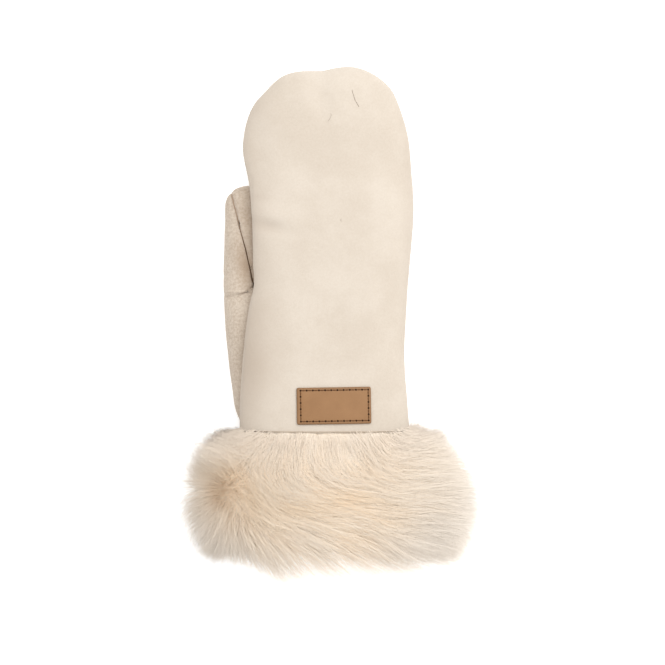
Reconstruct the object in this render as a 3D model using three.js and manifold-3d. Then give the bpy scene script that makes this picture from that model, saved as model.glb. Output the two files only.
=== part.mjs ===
// A shearling mitten for the right hand, with a cuff of long-haired sheepskin. It lies on its palm:
// +Y runs to the fingertips, +Z is up through the back of the hand, and the thumb is on the -X side,
// folded partly under the hand. The origin is on the palm's underside. All lengths are millimetres.
import * as THREE from 'three';
import { mergeVertices } from 'three/addons/utils/BufferGeometryUtils.js';
import Module from 'manifold-3d';

const wasm = await Module();
wasm.setup();

// The hand: wrist seam to the centre of the rounded tip, half the width, and the height of the back.
const BODY_LENGTH = 191;
const HAND_HALF_WIDTH = 57.8;
const HAND_THICKNESS = 43;
// The thumb's height, and the room between it and the hand that lies over it.
const THUMB_THICKNESS = 24;
const THUMB_CLEARANCE = 1.2;
// Shearling is a hide with its own clipped wool on the inside, so its walls are thick.
const SHEARLING_WALL = 4.5;
const THUMB_WALL = 4;
// The oval hole through which the thumb's room opens into the hand's.
const THUMBHOLE_LENGTH = 52;
const THUMBHOLE_WIDTH = 13;
const THUMBHOLE_ACROSS = -0.79; // share of the half width
const THUMBHOLE_ALONG = 0.3; // share of the body length
// Sewn edges turn in by the depth of the seam and keep a small gap to each other.
const SEAM_DEPTH = 1.5;
const SEAM_GAP = 0.4;
// The cuff: length of the hide band, its wall, and the length of the hair on it.
const CUFF_LENGTH = 70;
const CUFF_WALL = 3;
const HAIR_LENGTH = 44;
// The leather label, sewn on the back of the hand.
const LABEL_WIDTH = 50.8;
const LABEL_HEIGHT = 25.2;
const LABEL_THICKNESS = 1.4;
const LABEL_GAP = 0.35;
const LABEL_FROM_WRIST = 18.2; // from the wrist seam to the label's middle
const LABEL_ASIDE = 4.2; // from the middle of the hand to the label's middle
const LABEL_TURN = 0.9; // degrees

// Outline of the hand: the sides as shares of the half width, at shares of the body length from the wrist.
const HAND_SIDES = [
  { along: 0.0, left: -1.034, right: 0.951 },
  { along: 0.11, left: -1.031, right: 0.931 },
  { along: 0.21, left: -1.012, right: 0.907 },
  { along: 0.306, left: -0.985, right: 0.903 },
  { along: 0.402, left: -0.948, right: 0.915 },
  { along: 0.502, left: -0.9, right: 0.931 },
  { along: 0.601, left: -0.9, right: 0.961 },
  { along: 0.698, left: -0.905, right: 0.989 },
  { along: 0.786, left: -0.912, right: 1.01 },
  { along: 0.858, left: -0.922, right: 1.005 },
  { along: 0.915, left: -0.94, right: 0.989 },
  { along: 0.954, left: -0.984, right: 0.979 },
  { along: 1.0, left: -1.004, right: 0.969 },
];

// The rounded tip as shares of the half width, from the left side round to the right at equal turns.
// The dip past the middle is where the lining gathers.
const HAND_TIP = [1.004, 1.01, 1.032, 1.009, 1.02, 0.955, 0.925, 1.012, 1.043, 1.044, 0.989, 0.964, 0.969];

// Heights of the hand. crown and floor are shares of the hand's thickness and under, the underside of
// the left edge where it lies on the thumb, is a share of the thumb's thickness. The seams are shares of
// the height between underside and crown on their side.
const HAND_HEIGHTS = [
  { along: 0.0, crown: 1.1, floor: 0.28, under: 0.45, seamLeft: 0.52, seamRight: 0.5 },
  { along: 0.11, crown: 1.07, floor: 0.19, under: 0.42, seamLeft: 0.54, seamRight: 0.49 },
  { along: 0.21, crown: 1.04, floor: 0.1, under: 0.44, seamLeft: 0.56, seamRight: 0.48 },
  { along: 0.306, crown: 1.02, floor: 0.03, under: 0.5, seamLeft: 0.56, seamRight: 0.46 },
  { along: 0.402, crown: 1.0, floor: -0.04, under: 0.58, seamLeft: 0.54, seamRight: 0.45 },
  { along: 0.502, crown: 1.0, floor: -0.06, under: 0.68, seamLeft: 0.5, seamRight: 0.44 },
  { along: 0.786, crown: 0.98, floor: -0.06, under: 0.72, seamLeft: 0.49, seamRight: 0.44 },
  { along: 0.87, crown: 0.96, floor: -0.06, under: 0.68, seamLeft: 0.48, seamRight: 0.44 },
  { along: 0.954, crown: 0.93, floor: -0.05, under: 0.5, seamLeft: 0.46, seamRight: 0.43 },
  { along: 1.05, crown: 0.91, floor: -0.04, under: 0.28, seamLeft: 0.44, seamRight: 0.43 },
  { along: 1.3, crown: 0.9, floor: -0.04, under: 0.05, seamLeft: 0.45, seamRight: 0.43 },
];

// The thumb and its gusset, which tapers away under the hand's edge at the wrist. Sides are shares of the
// hand's half width, top and bottom are shares of the thumb's thickness.
const THUMB_SECTIONS = [
  { along: 0.0, left: -0.97, right: -0.62, top: 1.0, bottom: 0.6 },
  { along: 0.06, left: -1.073, right: -0.65, top: 1.0, bottom: 0.4 },
  { along: 0.135, left: -1.122, right: -0.67, top: 1.0, bottom: 0.2 },
  { along: 0.21, left: -1.159, right: -0.66, top: 1.0, bottom: 0.06 },
  { along: 0.285, left: -1.184, right: -0.64, top: 1.0, bottom: -0.02 },
  { along: 0.359, left: -1.208, right: -0.62, top: 1.03, bottom: -0.04 },
  { along: 0.459, left: -1.226, right: -0.61, top: 1.05, bottom: -0.05 },
  { along: 0.502, left: -1.232, right: -0.61, top: 1.02, bottom: -0.05 },
  { along: 0.555, left: -1.235, right: -0.605, top: 0.99, bottom: -0.05 },
  { along: 0.698, left: -1.225, right: -0.61, top: 0.98, bottom: -0.05 },
  { along: 0.79, left: -1.215, right: -0.645, top: 0.93, bottom: -0.04 },
];

// The thumb's rounded tip as shares of its half width there.
const THUMB_TIP = [1.0, 1.02, 1.06, 1.07, 1.03, 1.0, 1.0, 0.99, 0.98, 0.99, 1.0, 1.0, 1.0];

// The seam over the thumb, from its tip to the crotch and on under the hand, as shares of the hand's
// half width across and of the body length along.
const THUMB_SEAM = [
  { across: -1.206, along: 0.907 },
  { across: -1.147, along: 0.847 },
  { across: -1.094, along: 0.786 },
  { across: -1.035, along: 0.715 },
  { across: -0.97, along: 0.644 },
  { across: -0.922, along: 0.58 },
  { across: -0.893, along: 0.537 },
  { across: -0.851, along: 0.502 },
  { across: -0.71, along: 0.48 },
  { across: -0.449, along: 0.466 },
];

// Dents and creases pressed into the upper surfaces. across, length and width are shares of the half
// width, along is a share of the body length, turn is in degrees and depth is a share of the wall.
const HAND_DENTS = [
  { across: -0.74, along: 0.81, length: 0.3, width: 0.16, turn: -8, depth: 0.32 },
  { across: -0.72, along: 0.72, length: 0.26, width: 0.07, turn: -14, depth: 0.3 },
  { across: -0.06, along: 1.24, length: 0.1, width: 0.34, turn: 0, depth: 0.45 },
  { across: 0.86, along: 0.96, length: 0.22, width: 0.12, turn: 25, depth: 0.3 },
  { across: -0.62, along: 0.2, length: 0.35, width: 0.2, turn: 60, depth: 0.28 },
];
const THUMB_DENTS = [
  { across: -1.03, along: 0.487, length: 0.24, width: 0.035, turn: 9, depth: 0.5 },
  { across: -1.16, along: 0.6, length: 0.1, width: 0.1, turn: 40, depth: 0.2 },
];

// The hair mass on the cuff's band. along is a share of the cuff's length and the depths over and under
// the hand, to its left and to its right are shares of the hair's length. Past the band's end the mass
// closes round its rim to the lining.
const HAIR_PROFILE = [
  { along: 0.0, over: 0.0, left: 0.0, right: 0.0 },
  { along: 0.03, over: 0.12, left: 0.12, right: 0.2 },
  { along: 0.1, over: 0.27, left: 0.36, right: 0.5 },
  { along: 0.26, over: 0.44, left: 0.64, right: 0.74 },
  { along: 0.5, over: 0.52, left: 0.74, right: 0.86 },
  { along: 0.76, over: 0.53, left: 0.72, right: 0.88 },
  { along: 1.0, over: 0.48, left: 0.52, right: 0.78 },
  { along: 1.19, over: 0.32, left: 0.3, right: 0.54 },
  { along: 1.29, over: 0.1, left: 0.1, right: 0.24 },
];

// How the band widens from the wrist to the mouth: shares of the half width and of the thickness.
const CUFF_SECTIONS = [
  { along: 0.0, widen: 0.0, raise: 0.0, lower: 0.0 },
  { along: 0.35, widen: 0.05, raise: 0.05, lower: 0.05 },
  { along: 1.0, widen: 0.1, raise: 0.1, lower: 0.07 },
  { along: 1.4, widen: 0.12, raise: 0.12, lower: 0.07 },
];

// Which way the hair is swept, in degrees from straight down the cuff towards the right, at five places
// across the cuff and four along it.
const HAIR_SWEEP = [
  { along: 0.0, farLeft: -76, left: -14, middle: 4, right: 34, farRight: 104 },
  { along: 0.35, farLeft: -84, left: 12, middle: 48, right: 64, farRight: 88 },
  { along: 0.7, farLeft: -70, left: 42, middle: 62, right: 68, farRight: 80 },
  { along: 1.1, farLeft: -34, left: 20, middle: 30, right: 34, farRight: 52 },
];

// Rows of locks from the wrist to the mouth. depth says how deep in the hair mass they start, as a share
// of its depth there. reach is their length on the left and on the right, and thick half their width at
// the root, as shares of the hair's length. rise is how steeply they leave the cuff.
const LOCK_ROWS = [
  { along: 0.07, locks: 26, depth: 0.3, reachLeft: 0.42, reachRight: 0.66, thick: 0.18, rise: 0.62 },
  { along: 0.26, locks: 25, depth: 0.45, reachLeft: 0.8, reachRight: 0.82, thick: 0.24, rise: 0.62 },
  { along: 0.48, locks: 25, depth: 0.5, reachLeft: 0.8, reachRight: 0.8, thick: 0.25, rise: 0.6 },
  { along: 0.7, locks: 24, depth: 0.5, reachLeft: 0.76, reachRight: 0.78, thick: 0.25, rise: 0.56 },
  { along: 0.92, locks: 23, depth: 0.5, reachLeft: 0.54, reachRight: 0.72, thick: 0.24, rise: 0.48 },
  { along: 1.12, locks: 22, depth: 0.4, reachLeft: 0.4, reachRight: 0.8, thick: 0.21, rise: 0.26 },
  { along: 1.2, locks: 18, depth: 0.1, reachLeft: 0.36, reachRight: 0.6, thick: 0.17, rise: 0.04 },
];

// Fineness of the faceted surfaces.
const HAND_STATIONS = 16;
const HAND_TIP_RIBS = 16;
const HAND_TURNS = [0, 7, 19, 32, 46, 60, 75, 90]; // degrees from the seam to the spine
const THUMB_STATIONS = 11;
const THUMB_TIP_RIBS = 10;
const THUMB_TURNS = [0, 14, 33, 52, 71, 90];
const ROUNDNESS = 2.45; // of a cross-section: 2 is an ellipse, more is boxier
const CUFF_RING_STEPS = 30;
const LOCK_SIDES = 5;
const LOCK_STEPS = 3;
const LABEL_ABOVE = 60; // height of the cutters, past every surface

const rad = THREE.MathUtils.degToRad;
const mix = THREE.MathUtils.lerp;
const smooth = THREE.MathUtils.smoothstep;
const wristY = -BODY_LENGTH * 0.646; // puts the origin under the middle of the hand
const downCuff = new THREE.Vector3(0, -1, 0);
const yAt = (along) => wristY + along * BODY_LENGTH;
const alongAt = (y) => (y - wristY) / BODY_LENGTH;

// A column of a table, read between its rows along a smooth curve.
function read(table, column, along) {
  const last = table.length - 1;
  const at = THREE.MathUtils.clamp(along, table[0].along, table[last].along);
  const found = table.findIndex((row) => row.along >= at);
  const i = Math.max(0, found - 1);
  const slope = (k) => {
    const a = table[Math.max(0, k - 1)];
    const b = table[Math.min(last, k + 1)];
    return (b[column] - a[column]) / (b.along - a.along);
  };
  const span = table[i + 1].along - table[i].along;
  const t = (at - table[i].along) / span;
  const [p, q] = [table[i][column], table[i + 1][column]];
  const [m, n] = [slope(i) * span, slope(i + 1) * span];
  return (2 * p - 2 * q + m + n) * t ** 3 + (3 * q - 3 * p - 2 * m - n) * t ** 2 + m * t + p;
}

// Collects triangles and makes them one geometry with shared vertices.
class Skin {
  positions = [];
  triangle(a, b, c) {
    const flat = new THREE.Triangle(a, b, c).getArea() < 1e-7;
    if (!flat) this.positions.push(...a.toArray(), ...b.toArray(), ...c.toArray());
  }
  quad(a, b, c, d) {
    this.triangle(a, b, c);
    this.triangle(a, c, d);
  }
  geometry() {
    const made = new THREE.BufferGeometry();
    made.setAttribute('position', new THREE.Float32BufferAttribute(this.positions, 3));
    return mergeVertices(made, 1e-3);
  }
}

// A closed geometry as a manifold-3d solid, turned the right way out.
function solidFrom(geometry) {
  const bare = geometry.clone();
  bare.deleteAttribute('normal');
  bare.deleteAttribute('uv');
  const merged = mergeVertices(bare, 1e-3);
  const vertProperties = merged.attributes.position.array;
  const triVerts = new Uint32Array(merged.index.array);
  const made = new wasm.Manifold(new wasm.Mesh({ numProp: 3, vertProperties, triVerts }));
  if (made.volume() > 0) return made;
  return new wasm.Manifold(new wasm.Mesh({ numProp: 3, vertProperties, triVerts: triVerts.reverse() }));
}

// A solid back as a geometry.
function geometryFrom(solid) {
  const { vertProperties, triVerts, numProp, numVert } = solid.getMesh();
  const positions = new Float32Array(numVert * 3);
  for (let i = 0; i < numVert; i += 1) {
    positions.set(vertProperties.subarray(i * numProp, i * numProp + 3), i * 3);
  }
  const made = new THREE.BufferGeometry();
  made.setAttribute('position', new THREE.BufferAttribute(positions, 3));
  made.setIndex(new THREE.BufferAttribute(triVerts, 1));
  return made;
}

const biggest = (solid) => solid.decompose().sort((a, b) => b.volume() - a.volume())[0];

// Sum of the dents of a table at a place, as a depth.
function dentAt(dents, x, y) {
  let depth = 0;
  for (const dent of dents) {
    const dx = x - dent.across * HAND_HALF_WIDTH;
    const dy = y - yAt(dent.along);
    const [c, s] = [Math.cos(rad(dent.turn)), Math.sin(rad(dent.turn))];
    const u = (dx * c + dy * s) / (dent.length * HAND_HALF_WIDTH);
    const v = (dy * c - dx * s) / (dent.width * HAND_HALF_WIDTH);
    depth += dent.depth * SHEARLING_WALL * Math.exp(-u * u - v * v);
  }
  return depth;
}

// The hand as a pouch: a flat outline that bulges to a crown above and to a floor below.
const hand = {
  sides: HAND_SIDES,
  tip: HAND_TIP,
  tipHalf: HAND_HALF_WIDTH,
  stations: HAND_STATIONS,
  tipRibs: HAND_TIP_RIBS,
  turns: HAND_TURNS,
  dents: HAND_DENTS,
  spine: () => 0,
  crown: (y) => read(HAND_HEIGHTS, 'crown', alongAt(y)) * HAND_THICKNESS,
  floor(x, y) {
    const along = alongAt(y);
    const level = read(HAND_HEIGHTS, 'floor', along) * HAND_THICKNESS;
    const raised = read(HAND_HEIGHTS, 'under', along) * THUMB_THICKNESS + THUMB_CLEARANCE;
    const share = smooth(-x / HAND_HALF_WIDTH, 0.08, 0.62);
    return mix(level, Math.max(raised, level), share);
  },
  seam(x, y) {
    const along = alongAt(y);
    const side = (column, floor) => mix(floor, hand.crown(y), read(HAND_HEIGHTS, column, along));
    const left = side('seamLeft', Math.max(0, hand.floor(-HAND_HALF_WIDTH, y)));
    const right = side('seamRight', Math.max(0, hand.floor(HAND_HALF_WIDTH, y)));
    return mix(left, right, smooth(x / HAND_HALF_WIDTH, -0.95, 0.95));
  },
};

// The thumb as a pouch of the same kind, which runs beside and partly under the hand.
const thumbEnd = THUMB_SECTIONS[THUMB_SECTIONS.length - 1];
const thumb = {
  sides: THUMB_SECTIONS,
  tip: THUMB_TIP,
  tipHalf: ((thumbEnd.right - thumbEnd.left) / 2) * HAND_HALF_WIDTH,
  stations: THUMB_STATIONS,
  tipRibs: THUMB_TIP_RIBS,
  turns: THUMB_TURNS,
  dents: THUMB_DENTS,
  spine(y) {
    const along = alongAt(y);
    const both = read(THUMB_SECTIONS, 'left', along) + read(THUMB_SECTIONS, 'right', along);
    return (both / 2) * HAND_HALF_WIDTH;
  },
  crown: (y) => read(THUMB_SECTIONS, 'top', alongAt(y)) * THUMB_THICKNESS,
  floor: (x, y) => read(THUMB_SECTIONS, 'bottom', alongAt(y)) * THUMB_THICKNESS,
  seam: (x, y) => mix(Math.max(0, thumb.floor(x, y)), thumb.crown(y), 0.46),
};

// The ribs of a pouch: up its left side, round the tip and down its right side. Each has the place of its
// inner end on the spine, a direction and a reach to the outline.
function ribsOf(pouch) {
  const end = pouch.sides[pouch.sides.length - 1].along;
  const creases = pouch.dents.filter((dent) => dent.width < 0.05 && dent.along < end);
  const places = Array.from({ length: pouch.stations + 1 }, (_, i) => (i / pouch.stations) * end);
  for (const { along, width } of creases) {
    const side = (width * HAND_HALF_WIDTH) / BODY_LENGTH;
    places.push(along - side, along, along + side);
  }
  places.sort((a, b) => a - b);
  const rib = (along, column) => {
    const y = yAt(along);
    const spineX = pouch.spine(y);
    const edge = read(pouch.sides, column, along) * HAND_HALF_WIDTH;
    return { x: spineX, y, dx: Math.sign(edge - spineX), dy: 0, reach: Math.abs(edge - spineX) };
  };
  const lefts = places.map((along) => rib(along, 'left'));
  const rights = places.map((along) => rib(along, 'right')).reverse();
  const around = pouch.tip.map((share, i) => ({ along: i / (pouch.tip.length - 1), share }));
  const tips = [];
  for (let i = 1; i < pouch.tipRibs; i += 1) {
    const turn = Math.PI * (1 - i / pouch.tipRibs);
    tips.push({
      x: pouch.spine(yAt(end)),
      y: yAt(end),
      dx: Math.cos(turn),
      dy: Math.sin(turn),
      reach: read(around, 'share', i / pouch.tipRibs) * pouch.tipHalf,
    });
  }
  return [...lefts, ...tips, ...rights];
}

// A point of a pouch: rib, turn from the seam (0) to the spine (90), face up (1) or down (-1), and how far
// it lies inside the outer surface. lift moves the seam's height, and tuck draws its edge in.
function pouchPoint(pouch, rib, turn, face, inset, { lift = 0, tuck = 0, y = rib.y } = {}) {
  const edgeX = rib.x + rib.dx * rib.reach;
  const edgeY = rib.y + rib.dy * rib.reach;
  const out = Math.max(0, Math.cos(rad(turn))) ** (2 / ROUNDNESS);
  const up = Math.sin(rad(turn)) ** (2 / ROUNDNESS);
  const reach = rib.reach - inset - (turn === 0 ? tuck : 0);
  const [x, flatY] = [rib.x + rib.dx * reach * out, y + rib.dy * reach * out];
  const seam = pouch.seam(edgeX, edgeY) + lift;
  if (face > 0) {
    const top = pouch.crown(rib.y) - inset;
    return new THREE.Vector3(x, flatY, mix(seam, top, up) - dentAt(pouch.dents, x, flatY) * up);
  }
  const slope = (pouch.floor(x + 1, flatY) - pouch.floor(x - 1, flatY)) / 2;
  const bottom = pouch.floor(x, flatY) + inset * Math.hypot(1, slope);
  return new THREE.Vector3(x, flatY, Math.max(mix(seam, bottom, up), Math.max(0, inset)));
}

// A whole pouch as a solid, grown or shrunk by inset, and run out past the wrist by overrun.
function pouchSolid(pouch, inset, overrun = 0) {
  const ribs = ribsOf(pouch);
  const turns = pouch.turns;
  const rows = (face) => ribs.map((rib) => turns.map((t) => pouchPoint(pouch, rib, t, face, inset)));
  const [top, bottom] = [rows(1), rows(-1)];
  if (overrun) {
    for (const side of [top, bottom]) {
      const moved = (row) => row.map((p) => p.clone().setY(p.y - overrun));
      side.unshift(moved(side[0]));
      side.push(moved(side[side.length - 1]));
    }
  }
  const skin = new Skin();
  for (let i = 0; i + 1 < top.length; i += 1) {
    for (let k = 0; k + 1 < turns.length; k += 1) {
      skin.quad(top[i][k], top[i + 1][k], top[i + 1][k + 1], top[i][k + 1]);
      skin.quad(bottom[i][k + 1], bottom[i + 1][k + 1], bottom[i + 1][k], bottom[i][k]);
    }
  }
  const last = top.length - 1;
  for (let k = 0; k + 1 < turns.length; k += 1) {
    skin.quad(top[0][k + 1], bottom[0][k + 1], bottom[0][k], top[0][k]);
    skin.quad(top[last][k], bottom[last][k], bottom[last][k + 1], top[last][k + 1]);
  }
  return solidFrom(skin.geometry());
}

// One panel of a pouch, above the seam (face 1) or below it (-1), with its thickness and turned-in edge.
function panelSolid(pouch, face, wall) {
  const ribs = ribsOf(pouch);
  const lift = (face * SEAM_GAP) / 2;
  const turns = pouch.turns;
  const row = (rib, inset, tuck) =>
    turns.map((turn) => pouchPoint(pouch, rib, turn, face, inset, { lift, tuck }));
  const outer = ribs.map((rib) => row(rib, 0, SEAM_DEPTH));
  const inner = ribs.map((rib) => row(rib, wall, 0));
  const skin = new Skin();
  for (let i = 0; i + 1 < ribs.length; i += 1) {
    for (let k = 0; k + 1 < turns.length; k += 1) {
      skin.quad(outer[i][k], outer[i + 1][k], outer[i + 1][k + 1], outer[i][k + 1]);
      skin.quad(inner[i][k + 1], inner[i + 1][k + 1], inner[i + 1][k], inner[i][k]);
    }
    skin.quad(outer[i + 1][0], outer[i][0], inner[i][0], inner[i + 1][0]);
  }
  const last = ribs.length - 1;
  for (let k = 0; k + 1 < turns.length; k += 1) {
    skin.quad(outer[0][k + 1], inner[0][k + 1], inner[0][k], outer[0][k]);
    skin.quad(outer[last][k], inner[last][k], inner[last][k + 1], outer[last][k + 1]);
  }
  return solidFrom(skin.geometry());
}

// A thin upright wall along the thumb's seam, which parts its two pieces.
function thumbSeamCutter() {
  const line = THUMB_SEAM.map((p) => new THREE.Vector2(p.across * HAND_HALF_WIDTH, yAt(p.along)));
  const aside = line.map((_, i) => {
    const run = line[Math.min(i + 1, line.length - 1)].clone().sub(line[Math.max(i - 1, 0)]);
    return new THREE.Vector2(-run.y, run.x).setLength(SEAM_GAP / 2);
  });
  const one = line.map((p, i) => p.clone().add(aside[i]));
  const other = line.map((p, i) => p.clone().sub(aside[i])).reverse();
  const wall = new THREE.ExtrudeGeometry(new THREE.Shape([...one, ...other]), {
    depth: 2 * LABEL_ABOVE,
    bevelEnabled: false,
  });
  return solidFrom(wall.translate(0, 0, -LABEL_ABOVE));
}

// The oval hole between the thumb's room and the hand's, as an upright cutter.
function thumbholeCutter() {
  const oval = new THREE.Shape();
  oval.absellipse(0, 0, THUMBHOLE_WIDTH / 2, THUMBHOLE_LENGTH / 2, 0, 2 * Math.PI);
  const room = THUMB_THICKNESS / 2;
  const hole = new THREE.ExtrudeGeometry(oval, { depth: room + 5, curveSegments: 6, bevelEnabled: false });
  hole.translate(THUMBHOLE_ACROSS * HAND_HALF_WIDTH, yAt(THUMBHOLE_ALONG), room);
  return solidFrom(hole);
}

// The wrist opening's ring, carried down the cuff and widened, then grown outwards by grow.
function cuffPoint(turn, along, grow) {
  const widen = read(CUFF_SECTIONS, 'widen', along) * HAND_HALF_WIDTH + grow;
  const raise = read(CUFF_SECTIONS, 'raise', along) * HAND_THICKNESS + grow;
  const lower = read(CUFF_SECTIONS, 'lower', along) * HAND_THICKNESS + grow;
  const leftward = Math.cos(turn) < 0;
  const side = read(HAND_SIDES, leftward ? 'left' : 'right', 0) * HAND_HALF_WIDTH;
  const reach = Math.abs(side) + widen;
  const seam = hand.seam(side, wristY);
  const above = hand.crown(wristY) + raise - seam;
  const below = seam - hand.floor(0, wristY) + lower;
  const out = Math.abs(Math.cos(turn)) ** (2 / ROUNDNESS);
  const up = Math.abs(Math.sin(turn)) ** (2 / ROUNDNESS);
  const middle = mix(hand.seam(-HAND_HALF_WIDTH, wristY), hand.seam(HAND_HALF_WIDTH, wristY), 0.5);
  const level = mix(middle, seam, out);
  const height = Math.sin(turn) >= 0 ? above * up : -below * up;
  const x = (leftward ? -1 : 1) * reach * out;
  const y = wristY - SEAM_GAP - along * CUFF_LENGTH;
  return new THREE.Vector3(x, y, level + height);
}

// Outward direction of the cuff's ring.
function cuffNormal(turn, along) {
  const a = cuffPoint(turn - 0.02, along, 0);
  const b = cuffPoint(turn + 0.02, along, 0);
  return new THREE.Vector3(b.z - a.z, 0, a.x - b.x).normalize();
}

// Depth of the hair mass round the cuff.
function hairDepth(turn, along) {
  const side = Math.cos(turn) < 0 ? 'left' : 'right';
  const share = Math.abs(Math.cos(turn)) ** 2;
  return mix(read(HAIR_PROFILE, 'over', along), read(HAIR_PROFILE, side, along), share) * HAIR_LENGTH;
}

// The band of hide with the solid mass of hair on it, as one ring that is open from end to end.
function hairMass() {
  const outside = HAIR_PROFILE.map(({ along }) => [along, (turn) => hairDepth(turn, along)]);
  const inside = [1.24, 1.04, 0.5, 0].map((along) => [along, () => -CUFF_WALL]);
  const profile = [...outside, ...inside];
  const rings = [];
  for (let i = 0; i < CUFF_RING_STEPS; i += 1) {
    const turn = (2 * Math.PI * i) / CUFF_RING_STEPS;
    rings.push(profile.map(([along, grow]) => cuffPoint(turn, along, grow(turn))));
  }
  const skin = new Skin();
  for (let i = 0; i < rings.length; i += 1) {
    const next = rings[(i + 1) % rings.length];
    for (let k = 0; k < profile.length; k += 1) {
      const l = (k + 1) % profile.length;
      skin.quad(rings[i][k], rings[i][l], next[l], next[k]);
    }
  }
  return solidFrom(skin.geometry());
}

// The direction that the hair is swept at a place on the cuff, in the plane of the table.
function sweepAt(x, along) {
  const columns = ['farLeft', 'left', 'middle', 'right', 'farRight'];
  const across = THREE.MathUtils.clamp(x / HAND_HALF_WIDTH, -1, 1) * 2 + 2;
  const i = Math.min(3, Math.floor(across));
  const [a, b] = [columns[i], columns[i + 1]].map((column) => read(HAIR_SWEEP, column, along));
  const turn = rad(mix(a, b, across - i));
  return new THREE.Vector3(Math.sin(turn), -Math.cos(turn), 0);
}

// A number from 0 to 1 that is always the same for the same lock.
const chance = (i, j) => {
  const value = Math.sin(i * 127.1 + j * 311.7) * 43758.5453;
  return value - Math.floor(value);
};

// One lock of hair: a flat tapered horn that leaves the cuff and lies down along the sweep of the hair.
function lockSolid(row, turn, number) {
  const along = row.along + (chance(number, 2) - 0.5) * 0.1;
  const root = cuffPoint(turn, along, row.depth * hairDepth(turn, along));
  const normal = cuffNormal(turn, along);
  const sweep = sweepAt(root.x, along).addScaledVector(downCuff, 0.25);
  sweep.addScaledVector(normal, -sweep.dot(normal)).normalize();
  const side = new THREE.Vector3().crossVectors(normal, sweep);
  sweep.addScaledVector(side, (chance(number, 5) - 0.5) * 0.5).normalize();
  const across = smooth(root.x / HAND_HALF_WIDTH, -1.1, 0.1);
  const longest = mix(row.reachLeft, row.reachRight, across) * HAIR_LENGTH;
  const reach = longest * mix(0.8, 1.15, chance(number, 3));
  const rise = row.rise * mix(0.8, 1.3, chance(number, 6));
  const start = sweep.clone().multiplyScalar(0.8).addScaledVector(normal, rise * 1.3);
  const end = sweep.clone().addScaledVector(normal, rise * 0.45);
  const bend = root.clone().addScaledVector(start, reach * 0.5);
  const tip = bend.clone().addScaledVector(end, reach * 0.55);
  const path = new THREE.QuadraticBezierCurve3(root, bend, tip);
  const thick = row.thick * HAIR_LENGTH * mix(0.85, 1.15, chance(number, 4));
  const rings = [];
  for (let k = 0; k < LOCK_STEPS; k += 1) {
    const share = k / LOCK_STEPS;
    const centre = path.getPoint(share);
    const tangent = path.getTangent(share);
    const high = new THREE.Vector3().crossVectors(tangent, side).normalize();
    const radius = thick * (1 - share ** 1.8);
    rings.push(
      Array.from({ length: LOCK_SIDES }, (_, n) => {
        const around = (2 * Math.PI * n) / LOCK_SIDES;
        const point = centre.clone().addScaledVector(side, radius * Math.cos(around));
        return point.addScaledVector(high, radius * 0.6 * Math.sin(around));
      }),
    );
  }
  const skin = new Skin();
  const point = path.getPoint(1);
  for (let n = 0; n < LOCK_SIDES; n += 1) {
    const m = (n + 1) % LOCK_SIDES;
    for (let k = 0; k + 1 < LOCK_STEPS; k += 1) {
      skin.quad(rings[k][n], rings[k][m], rings[k + 1][m], rings[k + 1][n]);
    }
    skin.triangle(rings[LOCK_STEPS - 1][n], rings[LOCK_STEPS - 1][m], point);
    skin.triangle(rings[0][m], rings[0][n], root);
  }
  return solidFrom(skin.geometry());
}

// All the locks, but for those that the cuff would lie on.
function allLocks() {
  const made = [];
  for (const row of LOCK_ROWS) {
    for (let index = 0; index < row.locks; index += 1) {
      const number = made.length + index * 7;
      const share = (index + chance(number, 1) * 0.55 + (LOCK_ROWS.indexOf(row) % 2) * 0.5) / row.locks;
      const turn = 2 * Math.PI * share;
      if (cuffNormal(turn, row.along).z > -0.8) made.push(lockSolid(row, turn, number));
    }
  }
  return made;
}

// The passage through the cuff for the hand, run out past both ends.
function cuffPassage() {
  const steps = [-0.02, 0, 0.35, 1, 1.25, 1.9];
  const skin = new Skin();
  const rings = steps.map((along) =>
    Array.from({ length: CUFF_RING_STEPS }, (_, i) =>
      cuffPoint((2 * Math.PI * i) / CUFF_RING_STEPS, along, -CUFF_WALL),
    ),
  );
  const middle = (ring) => ring.reduce((sum, p) => sum.add(p), new THREE.Vector3()).divideScalar(ring.length);
  const [first, last] = [middle(rings[0]), middle(rings[rings.length - 1])];
  for (let i = 0; i < CUFF_RING_STEPS; i += 1) {
    const j = (i + 1) % CUFF_RING_STEPS;
    for (let k = 0; k + 1 < rings.length; k += 1) {
      skin.quad(rings[k][i], rings[k + 1][i], rings[k + 1][j], rings[k][j]);
    }
    skin.triangle(rings[0][j], first, rings[0][i]);
    skin.triangle(rings[rings.length - 1][i], last, rings[rings.length - 1][j]);
  }
  return solidFrom(skin.geometry());
}

// A block that fills everything below the surface that the mitten lies on.
function belowFloor() {
  const size = 8 * HAND_HALF_WIDTH + 4 * HAIR_LENGTH + 2 * BODY_LENGTH;
  return solidFrom(new THREE.BoxGeometry(size, size, LABEL_ABOVE).translate(0, 0, -LABEL_ABOVE / 2));
}

// The whole cuff: band, hair mass and locks in one piece, flat where it rests.
function cuffSolid() {
  const grown = wasm.Manifold.union([hairMass(), ...allLocks()]);
  const keepOff = pouchSolid(hand, -2 * SEAM_GAP).add(pouchSolid(thumb, -2 * SEAM_GAP));
  return biggest(grown.subtract(cuffPassage()).subtract(belowFloor()).subtract(keepOff));
}

// The label follows the back of the hand: a slab between two raised copies of its surface.
function labelSolid() {
  const slab = new THREE.BoxGeometry(LABEL_WIDTH, LABEL_HEIGHT, 2 * LABEL_ABOVE);
  slab.rotateZ(rad(LABEL_TURN));
  slab.translate(LABEL_ASIDE, wristY + LABEL_FROM_WRIST, LABEL_ABOVE + HAND_THICKNESS / 2);
  const back = pouchSolid(hand, 0);
  const below = back.translate([0, 0, LABEL_GAP]);
  const above = back.translate([0, 0, LABEL_GAP + LABEL_THICKNESS]);
  return biggest(above.intersect(solidFrom(slab)).subtract(below));
}

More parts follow.
